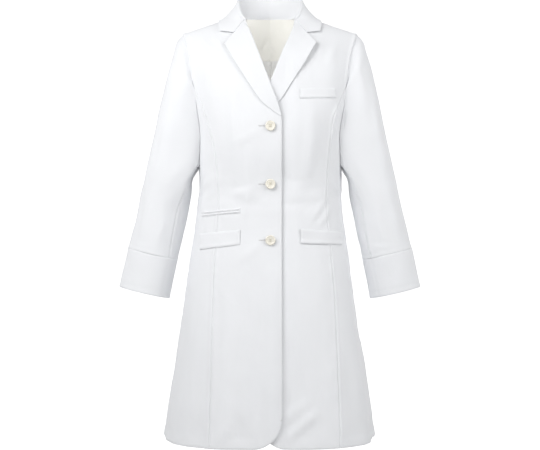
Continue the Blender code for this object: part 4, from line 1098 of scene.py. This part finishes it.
upper, n = finished(collar + collar_out * 0.0014, collar_out, "r", SOFT_EDGE)
upper, n = finished(upper, n, "l", ((0.0030, 0.0004, 0), (0.0075, 0.0012, 0)))
ob = shell("upper_collar_cloth", upper, upper - n * 0.0012, WHITE, INSIDE_PAINTED_LIGHT)
stands_for(ob, "torso", "coat_cloth", "upper_collar")
under = (collar - collar_out * 0.0002)[1:-1]
ob = shell("under_collar_cloth", under, (collar - collar_out * 0.0013)[1:-1], WHITE, INSIDE_PAINTED_LIGHT)
stands_for(ob, "torso", "coat_cloth", "under_collar")

# ---------------------------------------------------------------- lapels, turned over along the roll line
ROLL_RADIUS = 0.0024
LIFT = {1: 0.0085, -1: 0.0030}          # how far each lapel's point stands off
FLAT_COLS, TURN_COLS, LAPEL_ROWS = 30, 8, 80
for side, word in WORDS.items():
    roll = ROLL_LINE[side]
    gorge = chart(spaced([roll[0], (0.066, -0.027), NOTCH, LAPEL_EDGE[0]], FLAT_COLS))
    tw = coons(gorge, spaced([chart([roll[-1]])[0], chart([LAPEL_EDGE[-1]])[0]], FLAT_COLS),
               chart(spline(roll, LAPEL_ROWS)), chart(spline(LAPEL_EDGE, LAPEL_ROWS)))
    base, n = placed(tw, side, 0.0, side > 0)
    away = edge_distance(base)
    z = base[..., 2]
    flat = 1 - 0.72 * bell((z - BREAK_Z) / 0.022)
    share = away["l"] / np.maximum(away["l"] + away["r"], 1e-6)
    lift = (LAPEL_RISE + 0.0034 * np.exp(-(away["l"] / 0.018) ** 1.5)) * flat
    lift = lift + LIFT[side] * share ** 2.2 * step(-0.165, -0.075, z)
    lift = lift + 0.0008 * noise(base, (0.05, 0.05, 0.05), 67) * np.minimum(1.0, away["l"] / 0.01) * flat
    bed = base + n * lift[..., None]
    radius = (ROLL_RADIUS * flat[:, :1])[..., None]
    across = unit(base[:, :1] - base[:, 1:2])
    a = np.linspace(-math.pi / 2, math.pi / 2, TURN_COLS, endpoint=False)[None, :, None]
    centre = bed[:, :1] - n[:, :1] * radius
    points = np.concatenate((centre + across * np.cos(a) * radius + n[:, :1] * np.sin(a) * radius, bed), 1)
    last = TURN_COLS + int(np.argmin(np.linalg.norm(base[0] - NOTCH_POINT * (side, 1, 1), axis=-1)))
    seam_line = spaced(GORGE[side] * (side, 1, 1), last)
    shift = np.zeros_like(points[0])
    shift[:last + 1] = seam_line - points[0, :last + 1]
    tail = np.arange(len(shift) - last - 1)
    shift[last + 1:] = shift[last] * bell((tail + 1) / 3.0)[:, None]
    down = edge_distance(points)["t"]
    points = points + shift[None] * bell(down / 0.016)[..., None]
    out = grid_normals(points)
    out = out * np.sign((out[LAPEL_ROWS // 2, -5] * n[LAPEL_ROWS // 2, -5]).sum())
    points, out = finished(points, out, "r", SOFT_EDGE)
    points, out = finished(points, out, "t", TUCK[:3])
    ob = shell(word + "_lapel_cloth", points, points - out * PLY * 1.2, WHITE, INSIDE_PAINTED_LIGHT)
    stands_for(ob, word + "_front", "coat_cloth", word + "_lapel")


# ---------------------------------------------------------------- welts and pocket bags
def quad_grid(corners, rows, cols):
    c = [np.array(p) for p in corners]
    return coons(chart(spaced([c[0], c[1]], cols)), chart(spaced([c[3], c[2]], cols)),
                 chart(spaced([c[0], c[3]], rows)), chart(spaced([c[1], c[2]], rows)))


def welt(node, corners, side, rise, rows=14, lift=0.0):
    """A folded band of cloth: soft along its middle, pressed flat at its seams, a corner standing off."""
    points, n = placed(quad_grid(corners, rows, 44), side)
    away = edge_distance(points)
    near = np.minimum(np.minimum(away["l"], away["r"]), np.minimum(away["t"], away["b"]))
    swell = 1 - bell(near / 0.0018)
    gape = lift * bell(away["l"] / 0.030) * bell(away["t"] / 0.016)
    outer = points + n * (rise + PLY * (0.2 + 0.9 * swell) + gape)[..., None]
    outer = seam_shape(outer, n, "b")
    ob = shell(node + "_cloth", outer, points + n * (rise - 0.0006 + gape)[..., None], WHITE, INSIDE_PAINTED_LIGHT)
    return stands_for(ob, WORDS[side] + "_front", "coat_cloth", node)


def pouch(node, corners, side, slit_drop, depth, hollow):
    """A soft bag behind a slit: open at the top, sewn flat along its bottom."""
    (x0, z0), (x1, z1) = corners[:2]
    rows, around = 36, 64
    v = np.linspace(0, 1, rows + 1)[:, None]
    a = 2 * math.pi * np.arange(around)[None, :] / around
    soft = np.sign(np.cos(a)) * np.abs(np.cos(a)) ** 0.8
    half = (x1 - x0) / 2 - 0.002 - 0.010 * step(0.82, 1.0, v) ** 2
    x = (x0 + x1) / 2 + soft * half
    top = (z0 + z1) / 2 - slit_drop - 0.003 + (z1 - z0) * (x - x0) / (x1 - x0) - (z1 - z0) / 2
    z = top * (1 - v) + ((z0 + z1) / 2 - slit_drop - depth) * v
    thick = 0.0013 + (hollow / 2) * np.sin(math.pi * np.clip(0.16 + 0.84 * v, 0, 1)) ** 0.8
    base, n = placed(chart(np.stack((x, z), -1)), side)
    drop = 0.0030 + thick - thick * np.sin(a)
    outer = base - n * drop[..., None]
    ob = shell(node + "_cloth", outer, outer - ring_normals(outer) * 0.0010, POCKETING, wrap=True)
    stands_for(ob, WORDS[side] + "_front", "pocketing", node)


welt("right_pocket_welt", WELT_LOWER_RIGHT, -1, 0.0012, lift=0.0010)
welt("left_pocket_welt", WELT_LOWER_LEFT, 1, 0.0012, lift=0.0032)
welt("chest_pocket_welt", WELT_CHEST, 1, 0.0007, lift=0.0008)
welt("ticket_pocket_upper_jet", JET_UPPER, -1, 0.0009, rows=8)
welt("ticket_pocket_lower_jet", JET_LOWER, -1, 0.0009, rows=8)
pouch("right_pocket_bag", WELT_LOWER_RIGHT, -1, POCKET_DROP, 0.160, 0.0110)
pouch("left_pocket_bag", WELT_LOWER_LEFT, 1, POCKET_DROP, 0.160, 0.0110)
pouch("chest_pocket_bag", WELT_CHEST, 1, POCKET_DROP, 0.106, 0.0075)
pouch("ticket_pocket_bag", JET_UPPER, -1, JET_DROP, 0.032, 0.0060)

# ---------------------------------------------------------------- buttons, their thread and the buttonholes
# profiles of solids of revolution, as (radius, distance toward the front)
BUTTON_PROFILE = ((0.0000, 0.00000), (0.0092, 0.00000), (0.0104, 0.00030), (0.0110, 0.00095),
                  (0.0112, 0.00160), (0.0110, 0.00225), (0.0104, 0.00285), (0.0097, 0.00315),
                  (0.0090, 0.00315), (0.0084, 0.00295), (0.0078, 0.00250), (0.0071, 0.00222),
                  (0.0060, 0.00212), (0.0000, 0.00206))
HOLE_PROFILE = ((0.0, -0.005), (0.00085, -0.005), (0.00085, 0.0019), (0.00105, 0.0022), (0.0016, 0.0045),
                (0.0, 0.0045))
SHANK_PROFILE = ((0.0, -0.0095), (0.0016, -0.0095), (0.0016, -0.0003), (0.0, -0.0003))
SEGMENTS = 64
HOLE = 0.0017           # from the button's middle to its holes, along X and along Z
WINDINGS = 7            # turns of thread round the shank


def turned(profile, centre, segments):
    """A solid of revolution about the Y axis."""
    verts, faces, rings = [], [], []
    for radius, ahead in profile:
        if radius == 0:
            rings.append([len(verts)])
            verts.append((centre[0], centre[1] - ahead, centre[2]))
            continue
        rings.append(list(range(len(verts), len(verts) + segments)))
        for k in range(segments):
            a = 2 * math.pi * k / segments
            verts.append((centre[0] + radius * math.cos(a), centre[1] - ahead,
                          centre[2] + radius * math.sin(a)))
    for a, b in zip(rings, rings[1:]):
        for k in range(segments):
            m = (k + 1) % segments
            faces.append(tuple(dict.fromkeys((a[k % len(a)], a[m % len(a)], b[m % len(b)], b[k % len(b)]))))
    return verts, faces


def tube(path, radius, segments=8, loop=False):
    """Thread of a given radius along a path."""
    path = np.asarray(path, float)
    radius = np.broadcast_to(radius, len(path))
    ahead = unit(np.roll(path, -1, 0) - np.roll(path, 1, 0) if loop else np.gradient(path, axis=0))
    side = unit(np.cross(ahead, np.array((0.03, 1.0, 0.05))))
    up = np.cross(side, ahead)
    a = 2 * math.pi * np.arange(segments) / segments
    rings = (path[:, None] + side[:, None] * (np.cos(a)[None, :, None] * radius[:, None, None])
             + up[:, None] * (np.sin(a)[None, :, None] * radius[:, None, None]))
    m = len(path)
    faces = [(i * segments + k, i * segments + (k + 1) % segments,
              (i + 1) % m * segments + (k + 1) % segments, (i + 1) % m * segments + k)
             for i in range(m if loop else m - 1) for k in range(segments)]
    if not loop:
        faces += [tuple(range(segments))[::-1], tuple((m - 1) * segments + k for k in range(segments))]
    return rings.reshape(-1, 3).tolist(), faces


for word, (low, high) in BUTTONS.items():
    x, z = (low[0] + high[0]) / 2, (low[2] + high[2]) / 2
    back = high[1]
    button = solid("button_" + word + "_ivory", *turned(BUTTON_PROFILE, (x, back, z), SEGMENTS), IVORY, 0.7)
    holes = merged([turned(HOLE_PROFILE, (x + sx * HOLE, back, z + sz * HOLE), 20)
                    for sx in (-1, 1) for sz in (-1, 1)])
    cut(button, solid("holes", *holes, IVORY))
    stands_for(button, "left_front", "button", "button_" + word)

    threads = []
    rng = np.random.default_rng(3)
    for sz in (-1, 1):
        for strand in (-0.42, 0.0, 0.42):
            height = z + sz * HOLE + strand * 0.0010
            bend = np.linspace(-1, 1, 15)
            crown = 0.0026 + 0.00035 * (1 - bend ** 2) + 0.0001 * rng.random()
            path = [(x + HOLE * 0.98 * b, back - c, height) for b, c in zip(bend, crown)]
            path = [(path[0][0], back + 0.0002, height)] + path + [(path[-1][0], back + 0.0002, height)]
            threads.append(tube(path, 0.00024))
    turns = np.linspace(0, 2 * math.pi * WINDINGS, 150)
    spread = 0.0017 + 0.0002 * np.cos(turns * 0.5)
    threads.append(tube(np.stack((x + spread * np.cos(turns), back + 0.0004 + turns / turns[-1] * 0.0085,
                                  z + spread * np.sin(turns)), -1), 0.00042, 6))
    threads.append(turned(SHANK_PROFILE, (x, back, z), 16))
    ob = solid("button_thread_" + word + "_twist", *merged(threads), BUTTON_THREAD, 0.9)
    stands_for(ob, "left_front", "sewing_thread", "button_thread_" + word)

    loop = np.linspace(0, 2 * math.pi, 281)[:-1]
    half, wide = (HOLE_ENDS[1] - HOLE_ENDS[0]) / 2 + 0.0004, 0.00090
    u = np.clip(1.35 * np.cos(loop), -1, 1) * half
    w = np.sign(np.sin(loop)) * np.minimum(1.0, np.abs(np.sin(loop)) * 1.9) * wide
    place = np.stack(((HOLE_ENDS[0] + HOLE_ENDS[1]) / 2 + u, z + w), -1)
    path = placed(chart(place * (-1, 1)), -1, 0.0002)[0]
    purl = 0.00062 + 0.00010 * np.sin(np.arange(len(loop)) * 2 * math.pi / 4)
    ob = solid("buttonhole_stitches_" + word, *tube(path, purl, 8, True), HOLE_THREAD, ALL_SMOOTH)
    stands_for(ob, "right_front", "sewing_thread")

# ---------------------------------------------------------------- each sheet's width and length, rounded
LEAST_SIDE = 0.0102     # lengths under 10 mm are raised to this; a sheet may not be declared narrower than 10 mm
for ob, width, length, area in SHEETS:
    width, length = round(width, 4), max(LEAST_SIDE, round(length, 4))

# ---------------------------------------------------------------- stage, light and camera
# (y, z) of the stage from front to back
FLOOR = ((-5.0, -1.25), (0.9, -1.25))
BACKDROP = ((0.9, -1.25), (1.6, -1.24), (2.2, -1.15), (2.7, -0.93), (3.05, -0.5), (3.2, 0.1), (3.2, 3.5))


def stage_piece(name, profile, mat):
    verts = [(x, y, z) for x in (-6.0, 6.0) for y, z in profile]
    m = len(profile)
    return solid(name, verts, [(k, k + 1, m + k + 1, m + k) for k in range(m - 1)], mat, ALL_SMOOTH)


floor = stage_piece("floor", FLOOR, plain("pale_floor", 0.62))
screen = stage_piece("backdrop", BACKDROP, plain("white_backdrop", 0.95, 0.60))
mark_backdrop(floor, screen)


def aimed(name, place, aim, power, **shape):
    data = bpy.data.lights.new(name, "AREA")
    data.energy = power
    for key, value in shape.items():
        setattr(data, key, value)
    ob = linked(name, data)
    ob.location = place
    ob.rotation_euler = (Vector(aim) - Vector(place)).to_track_quat("-Z", "Y").to_euler()
    ob.visible_camera = False


aimed("key", (-0.95, -1.5, 0.85), (0, 0, -0.25), 16.5, size=1.1)
aimed("side", (-1.1, -1.0, 0.15), (0, 0, -0.30), 9, size=0.8)
aimed("fill", (1.6, -1.2, 0.20), (0, 0, -0.25), 19, size=1.2)
aimed("inside_light", (0.0, -0.02, -0.50), (0, 0.06, -0.02), 0.19, size=0.16, spread=1.05)

world = bpy.data.worlds.new("studio")
bpy.context.scene.world = world
world.use_nodes = True
fill(world.node_tree, world.node_tree.nodes["Background"], Color=(1, 1, 1, 1), Strength=0.34)

DISTANCE, EYE_Z, SENSOR = 2.5, -0.478, 36.0
VIEW_WIDTH = 540 * 0.0023       # metres across the picture, at the coat's middle
cam_data = bpy.data.cameras.new("camera")
cam_data.sensor_fit = "HORIZONTAL"
cam_data.sensor_width = SENSOR
cam_data.lens = SENSOR * DISTANCE / VIEW_WIDTH
camera = linked("camera", cam_data)
camera.location = (0.0, -DISTANCE, EYE_Z)
camera.rotation_euler = (math.pi / 2, 0, 0)
bpy.context.scene.camera = camera
bpy.context.scene.view_settings.view_transform = "Standard"

low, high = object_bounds()
